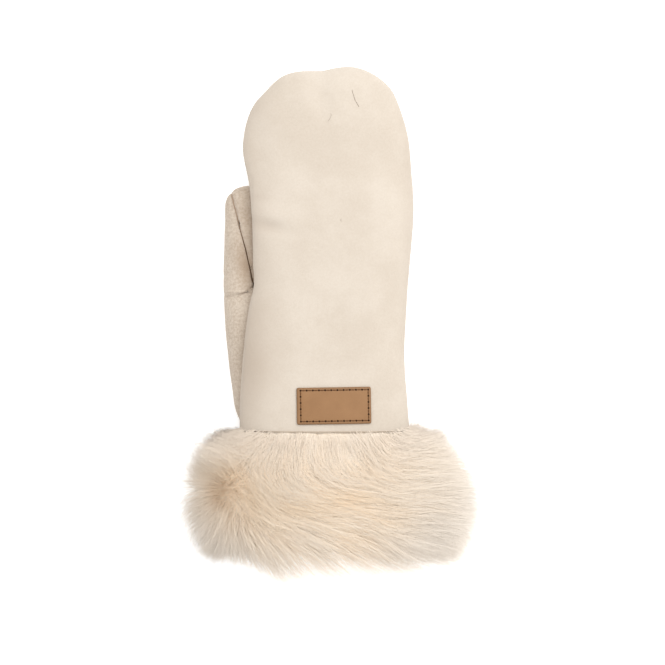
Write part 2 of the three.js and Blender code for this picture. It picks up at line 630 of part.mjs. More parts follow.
// Materials
const suede = { color: 0xefe3d2, roughness: 0.95, metalness: 0 };
const wool = { color: 0xecdcc6, roughness: 0.98, metalness: 0 };
const leather = { color: 0xa87e59, roughness: 0.6, metalness: 0 };

function node(name, solid, finish) {
  const mesh = new THREE.Mesh(geometryFrom(solid), new THREE.MeshStandardMaterial(finish));
  mesh.name = name;
  return mesh;
}

// Assembly
const mitten = new THREE.Group();
mitten.name = 'mitten';

const thumbhole = thumbholeCutter();
mitten.add(node('back_panel', panelSolid(hand, 1, SHEARLING_WALL), suede));
mitten.add(node('palm_panel', panelSolid(hand, -1, SHEARLING_WALL).subtract(thumbhole), suede));

// The thumb's wall is as thick under the hand as elsewhere.
const thumbCavity = pouchSolid(thumb, THUMB_WALL).subtract(pouchSolid(hand, -THUMB_WALL - SEAM_GAP));
const thumbShell = pouchSolid(thumb, 0)
  .subtract(thumbCavity)
  .subtract(pouchSolid(hand, -SEAM_GAP))
  .subtract(thumbhole);
const thumbPieces = thumbShell
  .subtract(thumbSeamCutter())
  .decompose()
  .sort((a, b) => b.volume() - a.volume());
mitten.add(node('thumb_outer', thumbPieces[0], suede));
mitten.add(node('thumb_inner', thumbPieces[1], suede));

mitten.add(node('fur_cuff', cuffSolid(), wool));
mitten.add(node('label', labelSolid(), leather));

export default mitten;
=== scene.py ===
import math

import bmesh
import bpy
import numpy as np
from mathutils import Matrix, Vector, noise
from mathutils.bvhtree import BVHTree


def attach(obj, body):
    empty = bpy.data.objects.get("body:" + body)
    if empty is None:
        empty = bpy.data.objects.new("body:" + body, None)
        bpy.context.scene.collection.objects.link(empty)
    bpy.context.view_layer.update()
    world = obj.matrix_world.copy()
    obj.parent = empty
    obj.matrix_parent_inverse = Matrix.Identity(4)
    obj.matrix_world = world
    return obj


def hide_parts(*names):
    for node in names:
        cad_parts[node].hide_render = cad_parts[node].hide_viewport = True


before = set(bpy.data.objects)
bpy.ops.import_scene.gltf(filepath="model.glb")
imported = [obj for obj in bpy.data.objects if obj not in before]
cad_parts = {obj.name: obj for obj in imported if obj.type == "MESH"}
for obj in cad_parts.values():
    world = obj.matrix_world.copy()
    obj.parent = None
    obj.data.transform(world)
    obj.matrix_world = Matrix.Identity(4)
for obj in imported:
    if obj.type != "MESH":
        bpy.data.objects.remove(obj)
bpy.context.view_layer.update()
scene = bpy.context.scene


# The back of the hand. One panel of suede-faced sheepskin, cut wide and sewn to the palm all round.
# The seam is turned to the inside, so the panel rolls over at its edge and is drawn in a little there.
back_swell = 0.0005  # slow unevenness of the stuffed panel, in metres
back_dents = [
    {"at": (-0.0385, 0.0150), "size": (0.0120, 0.0042), "turn": -14, "depth": 0.0017},
    {"at": (-0.0400, 0.0250), "size": (0.0160, 0.0080), "turn": -15, "depth": -0.0006},
    {"at": (-0.0460, 0.0620), "size": (0.0090, 0.0220), "turn": 4, "depth": 0.0009},
    {"at": (0.0020, 0.1140), "size": (0.0060, 0.0160), "turn": -6, "depth": -0.0009},
    {"at": (-0.0380, -0.0700), "size": (0.0200, 0.0100), "turn": 30, "depth": 0.0008},
    {"at": (0.0440, 0.0900), "size": (0.0120, 0.0200), "turn": 24, "depth": 0.0007},
    {"at": (0.0000, 0.1280), "size": (0.0600, 0.0200), "turn": 0, "depth": -0.0011},
]
back_creases = [
    {
        "line": [(-0.0518, 0.0480), (-0.0512, 0.0100), (-0.0520, -0.0240), (-0.0532, -0.0370)],
        "width": 0.0011,
        "depth": (0.0003, 0.0004),
    },
    {
        "line": [(-0.0532, -0.0370), (-0.0580, -0.0700), (-0.0588, -0.1000), (-0.0592, -0.1230)],
        "width": 0.0012,
        "depth": (0.0004, 0.0003),
    },
]


def sewn_copy(node, name, levels, sharp):
    """A copy of a sewn CAD piece as quads, rounded off between its sharp edges, as a new mesh object."""
    bm = bmesh.new()
    bm.from_mesh(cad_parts[node].data)
    bmesh.ops.remove_doubles(bm, verts=bm.verts, dist=1e-5)
    bmesh.ops.join_triangles(
        bm, faces=bm.faces, angle_face_threshold=math.radians(45), angle_shape_threshold=math.radians(110)
    )
    crease = bm.edges.layers.float.new("crease_edge")
    for edge in bm.edges:
        if edge.calc_face_angle(0) > math.radians(sharp):
            edge[crease] = 0.75
    mesh = bpy.data.meshes.new(name)
    bm.to_mesh(mesh)
    bm.free()
    piece = bpy.data.objects.new(name, mesh)
    scene.collection.objects.link(piece)
    rounding = piece.modifiers.new("Rounding", "SUBSURF")
    rounding.levels = rounding.render_levels = 2
    wanted = coordinates(mesh)
    for _ in range(2):
        bpy.context.view_layer.update()
        rounded = piece.evaluated_get(bpy.context.evaluated_depsgraph_get()).data
        missed = wanted - coordinates(rounded)[: len(wanted)]
        mesh.vertices.foreach_set("co", (coordinates(mesh) + 0.9 * missed).ravel())
        mesh.update()
    rounding.levels = rounding.render_levels = levels
    bpy.context.view_layer.update()
    piece.data = bpy.data.meshes.new_from_object(piece.evaluated_get(bpy.context.evaluated_depsgraph_get()))
    piece.data.name = name
    piece.modifiers.clear()
    return piece


def coordinates(mesh):
    """A mesh's vertex places as rows of x, y and z."""
    flat = np.empty(len(mesh.vertices) * 3)
    mesh.vertices.foreach_get("co", flat)
    return flat.reshape(-1, 3)


def dent_depth(points, dents):
    """Depth of broad soft dents at places in plan."""
    depth = np.zeros(len(points))
    for dent in dents:
        turn = math.radians(dent["turn"])
        dx, dy = (points[:, :2] - dent["at"]).T
        u = (dx * math.cos(turn) + dy * math.sin(turn)) / dent["size"][0]
        v = (dy * math.cos(turn) - dx * math.sin(turn)) / dent["size"][1]
        depth += dent["depth"] * np.exp(-(u**2) - v**2)
    return depth


def crease_depth(points, creases):
    """Depth of narrow creases that follow lines in plan, from their first to their last depth."""
    depth = np.zeros(len(points))
    for crease in creases:
        line = np.array(crease["line"])
        nearest = np.full(len(points), 1.0)
        share = np.zeros(len(points))
        for number, (a, b) in enumerate(zip(line[:-1], line[1:])):
            run = b - a
            along = np.clip((points[:, :2] - a) @ run / (run @ run), 0, 1)
            off = np.linalg.norm(points[:, :2] - a - along[:, None] * run, axis=1)
            closer = off < nearest
            nearest[closer] = off[closer]
            share[closer] = (number + along[closer]) / (len(line) - 1)
        first, last = crease["depth"]
        depth += (first + (last - first) * share) * np.exp(-((nearest / crease["width"]) ** 2))
    return depth


def refine_along(piece, creases, reach):
    """Cuts the mesh finer where narrow creases will be pressed into its upper side."""
    bm = bmesh.new()
    bm.from_mesh(piece.data)
    bm.normal_update()
    near = np.zeros(len(bm.verts), dtype=bool)
    places = coordinates(piece.data)
    for crease in creases:
        near |= crease_depth(places, [{"line": crease["line"], "width": reach, "depth": (1, 1)}]) > 0.37
    near &= np.array([v.normal.z > 0.1 for v in bm.verts])
    edges = [e for e in bm.edges if near[e.verts[0].index] and near[e.verts[1].index]]
    bmesh.ops.subdivide_edges(bm, edges=edges, cuts=2, use_grid_fill=True)
    bm.to_mesh(piece.data)
    bm.free()
    return piece


def work_in(piece, swell, dents, creases, puff=0.0006, facing=1):
    """Moves a piece's outer surface along its normals: out where it is stuffed, in where it is dented."""
    mesh = piece.data
    places = coordinates(mesh)
    flat = np.empty(len(places) * 3)
    mesh.vertices.foreach_get("normal", flat)
    normals = flat.reshape(-1, 3)
    depth = dent_depth(places, dents) + crease_depth(places, creases) - puff
    slow = np.array([noise.noise(Vector(p) * 26) for p in places])
    quick = np.array([noise.noise(Vector(p) * 90) for p in places])
    depth += swell * (slow + 0.22 * quick)
    depth *= np.clip((normals[:, 2] * facing + 0.3) / 0.4, 0, 1)
    mesh.vertices.foreach_set("co", (places - depth[:, None] * normals).ravel())
    mesh.shade_smooth()
    return piece


def put(tree, kind, inputs=(), **settings):
    """Adds a shader node with its settings, and with a value or a link for each named input."""
    node = tree.nodes.new("ShaderNode" + kind)
    for key, value in settings.items():
        setattr(node, key, value)
    for key, value in dict(inputs).items():
        if isinstance(value, bpy.types.NodeSocket):
            tree.links.new(value, node.inputs[key])
        else:
            node.inputs[key].default_value = value
    return node


def new_group(name, inputs, outputs):
    """An empty shader group with its sockets: names to (socket type, default)."""
    tree = bpy.data.node_groups.new(name, "ShaderNodeTree")
    for socket, (kind, default) in inputs.items():
        made = tree.interface.new_socket(socket, in_out="INPUT", socket_type=kind)
        if default is not None:
            made.default_value = default
    for socket, kind in outputs.items():
        tree.interface.new_socket(socket, in_out="OUTPUT", socket_type=kind)
    return tree, tree.nodes.new("NodeGroupInput"), tree.nodes.new("NodeGroupOutput")


def mottle_group():
    """Uneven colour of dyed skin: slow clouds, smaller blotches and a fine grain."""
    tree, given, made = new_group(
        "Uneven dye",
        {
            "Vector": ("NodeSocketVector", None),
            "Light": ("NodeSocketColor", (0.8, 0.8, 0.8, 1)),
            "Dark": ("NodeSocketColor", (0.6, 0.6, 0.6, 1)),
            "Clouds": ("NodeSocketFloat", 20.0),
            "Grain": ("NodeSocketFloat", 800.0),
            "Grain share": ("NodeSocketFloat", 0.4),
        },
        {"Color": "NodeSocketColor"},
    )
    at = given.outputs
    clouds = put(
        tree, "TexNoise", {"Vector": at["Vector"], "Scale": at["Clouds"], "Detail": 5, "Roughness": 0.62}
    )
    grain = put(
        tree, "TexNoise", {"Vector": at["Vector"], "Scale": at["Grain"], "Detail": 3, "Roughness": 0.7}
    )
    soft = put(
        tree,
        "MapRange",
        {"Value": clouds.outputs["Fac"], "From Min": 0.36, "From Max": 0.66},
        interpolation_type="SMOOTHSTEP",
    )
    fine = put(tree, "MapRange", {"Value": grain.outputs["Fac"], "From Min": 0.38, "From Max": 0.64})
    both = put(
        tree,
        "Mix",
        {0: at["Grain share"], 2: soft.outputs["Result"], 3: fine.outputs["Result"]},
        data_type="FLOAT",
    )
    color = put(
        tree, "Mix", {0: both.outputs[0], 6: at["Light"], 7: at["Dark"]}, data_type="RGBA"
    )
    tree.links.new(color.outputs[2], made.inputs["Color"])
    return tree


uneven_dye = mottle_group()


def suede_material(name, light, dark, worn, grain=750.0, grain_share=0.38, nap_depth=0.0003):
    """Cream suede: matt, with a short nap that catches light at its edges, darker where it is handled and
    where painted shade lies.
    """
    material = bpy.data.materials.new(name)
    material.use_nodes = True
    tree = material.node_tree
    shader = tree.nodes["Principled BSDF"]
    shader.inputs["Roughness"].default_value = 0.92
    shader.inputs["Specular IOR Level"].default_value = 0.18
    shader.inputs["Sheen Weight"].default_value = 0.12
    shader.inputs["Sheen Roughness"].default_value = 0.45
    place = put(tree, "TexCoord").outputs["Object"]
    dye = put(
        tree,
        "Group",
        {
            "Vector": place,
            "Light": light,
            "Dark": dark,
            "Clouds": 21.0,
            "Grain": grain,
            "Grain share": grain_share,
        },
        node_tree=uneven_dye,
    )
    nap = put(tree, "TexNoise", {"Vector": place, "Scale": 1500.0, "Detail": 2.0, "Roughness": 0.6})
    crumple = put(tree, "TexNoise", {"Vector": place, "Scale": 160.0, "Detail": 4.0, "Roughness": 0.55})
    low = put(
        tree,
        "Bump",
        {"Height": crumple.outputs["Fac"], "Strength": 0.16, "Distance": 0.0011},
    )
    high = put(
        tree,
        "Bump",
        {"Height": nap.outputs["Fac"], "Strength": 0.4, "Distance": nap_depth, "Normal": low.outputs[0]},
    )
    handled_and_shade = put(tree, "Attribute", attribute_name="handled_and_shade")
    grubby_and_shaded = put(
        tree,
        "Mix",
        {0: handled_and_shade.outputs["Fac"], 6: dye.outputs["Color"], 7: worn},
        data_type="RGBA",
    )
    tree.links.new(grubby_and_shaded.outputs[2], shader.inputs["Base Color"])
    tree.links.new(high.outputs[0], shader.inputs["Normal"])
    return material


def mark_handled_and_shade(piece, patches):
    """Stores how much each place of a suede piece is darkened by handling and by painted shade, from soft
    oval patches.
    """
    places = coordinates(piece.data)
    amount = np.clip(dent_depth(places, patches), 0, 1)
    handled_and_shade = piece.data.attributes.new("handled_and_shade", "FLOAT", "POINT")
    handled_and_shade.data.foreach_set("value", amount)


suede = suede_material(
    "Cream suede", (0.584, 0.518, 0.442, 1), (0.514, 0.446, 0.370, 1), (0.405, 0.335, 0.270, 1)
)


def draw_in_side(piece, strips):
    """Draws the left side of a sewn piece in towards its middle, over soft lengths of it."""
    mesh = piece.data
    places = coordinates(mesh)
    for strip in strips:
        window = np.exp(-(((places[:, 1] - strip["middle"]) / strip["length"]) ** 4))
        places[:, 0] += strip["by"] * window * np.clip((-0.025 - places[:, 0]) / 0.020, 0, 1)
    mesh.vertices.foreach_set("co", places.ravel())
    return piece


waist = [
    {"middle": 0.004, "length": 0.034, "by": 0.0013},
    {"middle": -0.0235, "length": 0.009, "by": 0.0009},
]
back = draw_in_side(sewn_copy("back_panel", "back_of_hand", 3, 62), waist)
back = work_in(back, back_swell, back_dents, back_creases)
back.data.materials.clear()
back.data.materials.append(suede)
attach(back, "root")
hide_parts("back_panel")
# Painted shade, in most of these patches: the bands down the left edge, over the lower left and round the
# left of the tip, the strip down the right edge and the patch in the dent on the left. The patch low on the
# left and the thin one higher up darken spots of the skin.
mark_handled_and_shade(
    back,
    [
        {"at": (-0.0600, 0.0700), "size": (0.0100, 0.0420), "turn": 0, "depth": 0.30},
        {"at": (-0.0540, 0.0080), "size": (0.0110, 0.0450), "turn": -3, "depth": 0.50},
        {"at": (-0.0570, -0.0800), "size": (0.0170, 0.0520), "turn": -6, "depth": 0.72},
        {"at": (-0.0520, 0.1010), "size": (0.0120, 0.0160), "turn": 35, "depth": 0.30},
        {"at": (-0.0395, 0.0150), "size": (0.0100, 0.0042), "turn": -12, "depth": 0.30},
        {"at": (-0.0450, 0.0350), "size": (0.0085, 0.0030), "turn": -5, "depth": 0.18},
        {"at": (-0.0440, -0.0860), "size": (0.0120, 0.0150), "turn": 15, "depth": 0.16},
        {"at": (0.0560, 0.0300), "size": (0.0070, 0.1100), "turn": 0, "depth": 0.26},
    ],
)


# The palm. The same skin as the back, flat where it lies on the table and raised over the thumb.
palm_dents = [
    {"at": (0.010, -0.055), "size": (0.030, 0.0040), "turn": 12, "depth": 0.0012},
    {"at": (0.016, 0.030), "size": (0.026, 0.0036), "turn": -8, "depth": 0.0010},
]
palm = draw_in_side(sewn_copy("palm_panel", "palm_of_hand", 2, 62), waist)
palm = work_in(palm, 0.0003, palm_dents, [], facing=-1)
for vertex in palm.data.vertices:
    vertex.co.z = max(vertex.co.z, 0.0)
palm.data.materials.clear()
palm.data.materials.append(suede)
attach(palm, "root")
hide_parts("palm_panel")
mark_handled_and_shade(palm, [])


# The thumb. Two pieces of the same skin, joined by the long seam that runs from its tip to the crotch.
# The outer piece widens into a gusset, dips towards the seam and folds at the level of the crotch.
thumb_seam = [
    (-0.0663, 0.0384),
    (-0.0632, 0.0267),
    (-0.0598, 0.0132),
    (-0.0561, -0.0004),
    (-0.0533, -0.0126),
    (-0.0516, -0.0208),
    (-0.0504, -0.0240),
]
thumb_dents = [
    {"at": (-0.0660, 0.0180), "size": (0.0050, 0.0060), "turn": 60, "depth": 0.0005},
    {"at": (-0.0640, 0.0060), "size": (0.0050, 0.0120), "turn": 15, "depth": -0.0004},
    {"at": (-0.0560, -0.0200), "size": (0.0040, 0.0090), "turn": 14, "depth": 0.0004},
]
thumb_creases = [
    {"line": thumb_seam, "width": 0.0019, "depth": (0.0007, 0.0008)},
    {
        "line": [
            (-0.0500, -0.0245),
            (-0.0542, -0.0281),
            (-0.0587, -0.0304),
            (-0.0632, -0.0318),
            (-0.0690, -0.0326),
        ],
        "width": 0.0009,
        "depth": (0.0017, 0.0005),
    },
    {"line": [(-0.0460, -0.0304), (-0.0665, -0.0301)], "width": 0.0018, "depth": (-0.0012, -0.0011)},
    {"line": [(-0.0665, -0.0301), (-0.0735, -0.0300)], "width": 0.0018, "depth": (0.0, 0.0004)},
    {
        "line": [(-0.0580, -0.0108), (-0.0640, -0.0138), (-0.0705, -0.0168)],
        "width": 0.0009,
        "depth": (0.0002, 0.0007),
    },
    {"line": [(-0.0606, 0.0182), (-0.0636, 0.0158)], "width": 0.0006, "depth": (0.0006, 0.0002)},
    {"line": [(-0.0600, 0.0155), (-0.0630, 0.0128)], "width": 0.0006, "depth": (0.0006, 0.0002)},
]
# The same skin as the back, given a coarser grain and darker colours: the grain is the skin's nap, and the
# darkening is painted shade of the thumb, which lies lower beside the hand's edge.
shaded_thumb_suede = suede_material(
    "Cream suede of the thumb",
    (0.560, 0.482, 0.398, 1),
    (0.405, 0.325, 0.252, 1),
    (0.320, 0.225, 0.150, 1),
    grain=620.0,
    grain_share=0.75,
    nap_depth=0.0006,
)
thumb_pieces = []
for node in ("thumb_outer", "thumb_inner"):
    skin = refine_along(sewn_copy(node, f"{node}_skin", 2, 50), thumb_creases, 0.0030)
    skin = work_in(skin, 0.0004, thumb_dents, thumb_creases)
    for vertex in skin.data.vertices:
        vertex.co.z = max(vertex.co.z, 0.0)
    skin.data.materials.clear()
    skin.data.materials.append(shaded_thumb_suede)
    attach(skin, "root")
    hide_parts(node)
    # Painted shade: these patches darken the outer piece where it dips to the lower seam, and the inner
    # piece towards the hand's edge.
    mark_handled_and_shade(
        skin,
        [
            {"at": (-0.0560, -0.0110), "size": (0.0062, 0.0150), "turn": 14, "depth": 0.7},
            {"at": (-0.0530, 0.0180), "size": (0.0060, 0.0200), "turn": 12, "depth": 0.4},
        ],
    )
    thumb_pieces.append(skin)

# The thumb's seam. The two pieces meet edge to edge, and a fine brown thread laid in the join stands in for
# the seam's shadow line: painted shade that darkens towards the crotch.


def laid_thread(name, line, radius):
    """A round thread along a line of points, as a closed mesh object."""
    path = bpy.data.curves.new(name, "CURVE")
    path.dimensions = "3D"
    spline = path.splines.new("POLY")
    spline.points.add(len(line) - 1)
    for point, place in zip(spline.points, line):
        point.co = (*place, 1)
    path.bevel_depth = radius
    path.bevel_resolution = 1
    path.use_fill_caps = True
    thread_path = bpy.data.objects.new(name, path)
    scene.collection.objects.link(thread_path)
    bpy.context.view_layer.update()
    mesh = bpy.data.meshes.new_from_object(thread_path.evaluated_get(bpy.context.evaluated_depsgraph_get()))
    bpy.data.objects.remove(thread_path)
    mesh.name = name
    piece = bpy.data.objects.new(name, mesh)
    scene.collection.objects.link(piece)
    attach(piece, "root")
    return piece


def shadow_line_thread(name, axis, span, pale, deep, mirrored=False):
    """Thread that stands in for a seam's shadow line as painted shade, darkening along one axis of the
    mitten from its pale to its deep brown.
    """
    material = bpy.data.materials.new(name)
    material.use_nodes = True
    tree = material.node_tree
    shader = tree.nodes["Principled BSDF"]
    shader.inputs["Roughness"].default_value = 0.95
    shader.inputs["Specular IOR Level"].default_value = 0.1
    place = put(tree, "SeparateXYZ", {0: put(tree, "TexCoord").outputs["Object"]}).outputs[axis]
    if mirrored:
        place = put(tree, "Math", {0: place}, operation="ABSOLUTE").outputs[0]
    deeper = put(tree, "MapRange", {"Value": place, "From Min": span[0], "From Max": span[1]})
    brown = put(tree, "Mix", {0: deeper.outputs[0], 6: pale, 7: deep}, data_type="RGBA")
    tree.links.new(brown.outputs[2], shader.inputs["Base Color"])
    return material


thumb_surfaces = [BVHTree.FromObject(skin, bpy.context.evaluated_depsgraph_get()) for skin in thumb_pieces]
seam_runs = np.linalg.norm(np.diff(thumb_seam, axis=0), axis=1)
seam_shares = np.concatenate([[0], np.cumsum(seam_runs)]) / seam_runs.sum()
seam_line = []
for share in np.linspace(0.0, 1.0, 40):
    x = np.interp(share, seam_shares, [p[0] for p in thumb_seam])
    y = np.interp(share, seam_shares, [p[1] for p in thumb_seam])
    heights = []
    for aside in (-0.0007, -0.0004, 0.0004, 0.0007):
        for surface in thumb_surfaces:
            hit = surface.ray_cast(Vector((x + aside, y, 0.1)), Vector((0, 0, -1)))
            if hit[0] is not None:
                heights.append(hit[0].z)
    if heights:
        seam_line.append((x, y, max(heights) - 0.00005))
seam_shadow_thread = laid_thread("thumb_seam_thread", seam_line, 0.00030)
seam_shadow_brown = shadow_line_thread(
    "Brown thread of the thumb seam", "Y", (0.024, 0.004), (0.34, 0.24, 0.17, 1), (0.11, 0.066, 0.038, 1)
)
seam_shadow_thread.data.materials.clear()
seam_shadow_thread.data.materials.append(seam_shadow_brown)


# The label. A small oblong of tan vegetable-tanned leather, sewn on by hand-length stitches that lie in
# a shallow groove round its border. Its face is bare.
label_size = (0.0498, 0.0246)
label_middle = (0.0040, -0.1054)
label_turn = math.radians(0.9)
label_thickness = 0.0013
label_lift = 0.0004
stitch_box = {"left": -0.0222, "right": 0.0231, "top": 0.0104, "bottom": -0.0102}
stitch_pitch = 0.00415
label_place = Matrix.Translation((*label_middle, 0)) @ Matrix.Rotation(label_turn, 4, "Z")

depsgraph = bpy.context.evaluated_depsgraph_get()
back_surface = BVHTree.FromObject(back, depsgraph)


def on_the_back(x, y):
    """The height of the back's surface above a place on the label, in the label's own directions."""
    spot = label_place @ Vector((x, y, 0))
    hit = back_surface.ray_cast(Vector((spot.x, spot.y, 0.2)), Vector((0, 0, -1)))
    return Vector((spot.x, spot.y, hit[0].z))


bm = bmesh.new()
bmesh.ops.create_grid(bm, x_segments=60, y_segments=30, size=0.5)
for vertex in bm.verts:
    vertex.co.x *= label_size[0]
    vertex.co.y *= label_size[1]
corner = 0.0012
for vertex in bm.verts:
    over = Vector(
        (
            max(0.0, abs(vertex.co.x) - (label_size[0] / 2 - corner)),
            max(0.0, abs(vertex.co.y) - (label_size[1] / 2 - corner)),
            0,
        )
    )
    if over.length > corner:
        pull = over * (1 - corner / over.length)
        vertex.co.x -= math.copysign(pull.x, vertex.co.x)
        vertex.co.y -= math.copysign(pull.y, vertex.co.y)
for vertex in bm.verts:
    x, y = vertex.co.x, vertex.co.y
    edge = min(label_size[0] / 2 - abs(x), label_size[1] / 2 - abs(y))
    in_from_seam = min(
        x - stitch_box["left"], stitch_box["right"] - x, y - stitch_box["bottom"], stitch_box["top"] - y
    )
    groove = 0.00022 * math.exp(-((in_from_seam / 0.00075) ** 2))
    burnish = 0.0004 * math.exp(-edge / 0.0006)
    place = on_the_back(x, y)
    vertex.co = place + Vector((0, 0, label_lift + label_thickness - groove - burnish))
rim = [edge for edge in bm.edges if edge.is_boundary]
skirt = bmesh.ops.extrude_edge_only(bm, edges=rim)["geom"]
for vertex in [item for item in skirt if isinstance(item, bmesh.types.BMVert)]:
    vertex.co.z -= label_thickness - 0.0004
bmesh.ops.holes_fill(bm, edges=[edge for edge in bm.edges if edge.is_boundary])
bmesh.ops.recalc_face_normals(bm, faces=bm.faces)
label_mesh = bpy.data.meshes.new("leather_label")
bm.to_mesh(label_mesh)
bm.free()
label_mesh.shade_smooth()
label = bpy.data.objects.new("leather_label", label_mesh)
scene.collection.objects.link(label)

label_leather = bpy.data.materials.new("Tan label leather")
label_leather.use_nodes = True
tree = label_leather.node_tree
shader = tree.nodes["Principled BSDF"]
shader.inputs["Roughness"].default_value = 0.62
shader.inputs["Specular IOR Level"].default_value = 0.35
place = put(
    tree,
    "Mapping",
    {
        "Vector": put(tree, "TexCoord").outputs["Object"],
        "Location": (-label_middle[0], -label_middle[1], 0),
    },
).outputs[0]
axes = put(tree, "SeparateXYZ", {0: place})
inward = []
for axis, size in zip("XY", label_size):
    aside = put(tree, "Math", {0: axes.outputs[axis]}, operation="ABSOLUTE")
    inward.append(put(tree, "Math", {0: size / 2, 1: aside.outputs[0]}, operation="SUBTRACT").outputs[0])
nearest = put(tree, "Math", {0: inward[0], 1: inward[1]}, operation="MINIMUM").outputs[0]
edge_dark = put(
    tree, "MapRange", {"Value": nearest, "From Min": 0.0, "From Max": 0.0022, "To Min": 1, "To Max": 0}
)
grain_size = put(tree, "TexVoronoi", {"Vector": place, "Scale": 1300.0}, feature="F1")
blotch = put(tree, "TexNoise", {"Vector": place, "Scale": 90.0, "Detail": 5.0, "Roughness": 0.6})
tan = put(
    tree,
    "Mix",
    {0: blotch.outputs["Fac"], 6: (0.300, 0.157, 0.066, 1), 7: (0.222, 0.109, 0.042, 1)},
    data_type="RGBA",
)
worn = put(tree, "Math", {0: edge_dark.outputs[0], 1: 0.45}, operation="MULTIPLY")
rimmed = put(
    tree,
    "Mix",
    {0: worn.outputs[0], 6: tan.outputs[2], 7: (0.160, 0.088, 0.045, 1)},
    data_type="RGBA",
)
pebbled = put(tree, "Bump", {"Height": grain_size.outputs["Distance"], "Strength": 0.2, "Distance": 0.0002})
tree.links.new(rimmed.outputs[2], shader.inputs["Base Color"])
tree.links.new(pebbled.outputs[0], shader.inputs["Normal"])
label.data.materials.append(label_leather)
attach(label, "root")
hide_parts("label")

# Stitches of the label. Waxed brown thread: short slanted lengths, each diving into a needle hole.
runs = []
corners = [("left", "bottom"), ("right", "bottom"), ("right", "top"), ("left", "top")]
for number, (side, level) in enumerate(corners):
    start = Vector((stitch_box[side], stitch_box[level], 0))
    next_side, next_level = corners[(number + 1) % 4]
    run = Vector((stitch_box[next_side], stitch_box[next_level], 0)) - start
    count = round(run.length / stitch_pitch)
    for i in range(count):
        spot = start + run * ((i + 0.5) / count)
        runs.append(((spot.x, spot.y), math.degrees(math.atan2(run.y, run.x)), run.length / count))


def thread_material(name, color, roughness):
    """Waxed sewing thread with the twist of its strands."""
    material = bpy.data.materials.new(name)
    material.use_nodes = True
    tree = material.node_tree
    shader = tree.nodes["Principled BSDF"]
    shader.inputs["Roughness"].default_value = roughness
    shader.inputs["Specular IOR Level"].default_value = 0.12
    place = put(tree, "TexCoord").outputs["Object"]
    twist = put(
        tree, "TexWave", {"Vector": place, "Scale": 900.0, "Distortion": 2.0}, bands_direction="DIAGONAL"
    )
    dark = tuple(0.55 * c for c in color) + (1,)
    tone = put(tree, "Mix", {0: twist.outputs["Fac"], 6: tuple(color) + (1,), 7: dark}, data_type="RGBA")
    round_it = put(tree, "Bump", {"Height": twist.outputs["Fac"], "Strength": 0.3, "Distance": 0.0002})
    tree.links.new(tone.outputs[2], shader.inputs["Base Color"])
    tree.links.new(round_it.outputs[0], shader.inputs["Normal"])
    return material


def laid_capsules(name, spots, length_share, width, height, sink):
    """Little rounded lengths laid on the label, one at each spot."""
    bm = bmesh.new()
    for (x, y), turn, pitch in spots:
        made = bmesh.ops.create_uvsphere(bm, u_segments=8, v_segments=6, radius=1.0)["verts"]
        level = on_the_back(x, y).z + label_lift + label_thickness - sink
        spot = label_place @ Vector((x, y, 0))
        lay = Matrix.Translation((spot.x, spot.y, level))
        lay = lay @ Matrix.Rotation(math.radians(turn) + label_turn, 4, "Z")
        lay = lay @ Matrix.Diagonal((pitch * length_share / 2, width / 2, height / 2, 1))
        bmesh.ops.transform(bm, matrix=lay, verts=made)
    mesh = bpy.data.meshes.new(name)
    bm.to_mesh(mesh)
    bm.free()
    mesh.shade_smooth()
    piece = bpy.data.objects.new(name, mesh)
    scene.collection.objects.link(piece)
    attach(piece, "root")
    return piece


stitches = laid_capsules("label_stitches", runs, 0.74, 0.00080, 0.00064, 0.00010)
stitches.data.materials.append(thread_material("Brown thread", (0.150, 0.066, 0.026), 0.7))
# Needle holes: a small dark spot at each end of a stitch, painted shade of the hole the thread dives into.
ends = []
for (x, y), turn, pitch in runs:
    step = Matrix.Rotation(math.radians(turn), 3, "Z") @ Vector((pitch / 2, 0, 0))
    ends.append(((x + step.x, y + step.y), turn, pitch))
needle_hole_shade = laid_capsules("label_needle_holes", ends, 0.36, 0.00145, 0.00044, 0.00016)
needle_hole_shade.data.materials.append(thread_material("Shaded needle hole", (0.045, 0.018, 0.007), 0.9))


# Stray hairs. A few dark hairs of the fleece have been left lying on the back of the hand, by the tip.
stray_lines = [
    [(0.0162, 0.1075), (0.0168, 0.1052), (0.0176, 0.1026), (0.0182, 0.1005), (0.0209, 0.0958)],
    [(0.0020, 0.0914), (0.0022, 0.0895), (0.0010, 0.0872), (-0.0002, 0.0856)],
    [(0.0089, 0.0200), (0.0086, 0.0190), (0.0090, 0.0181)],
]
stray_hair = thread_material("Dark stray hair", (0.36, 0.29, 0.235), 0.9)
stray_radii = (0.00015, 0.00007, 0.00009)
for number, (line, radius) in enumerate(zip(stray_lines, stray_radii), start=1):
    fine = np.linspace(0, len(line) - 1, 6 * len(line))
    places = []
    for at in fine:
        x = np.interp(at, range(len(line)), [p[0] for p in line])
        y = np.interp(at, range(len(line)), [p[1] for p in line])
        hit = back_surface.ray_cast(Vector((x, y, 0.2)), Vector((0, 0, -1)))
        places.append((x, y, hit[0].z + 0.0001))
    stray = laid_thread(f"stray_hair_{number}", places, radius)
    stray.data.materials.clear()
    stray.data.materials.append(stray_hair)


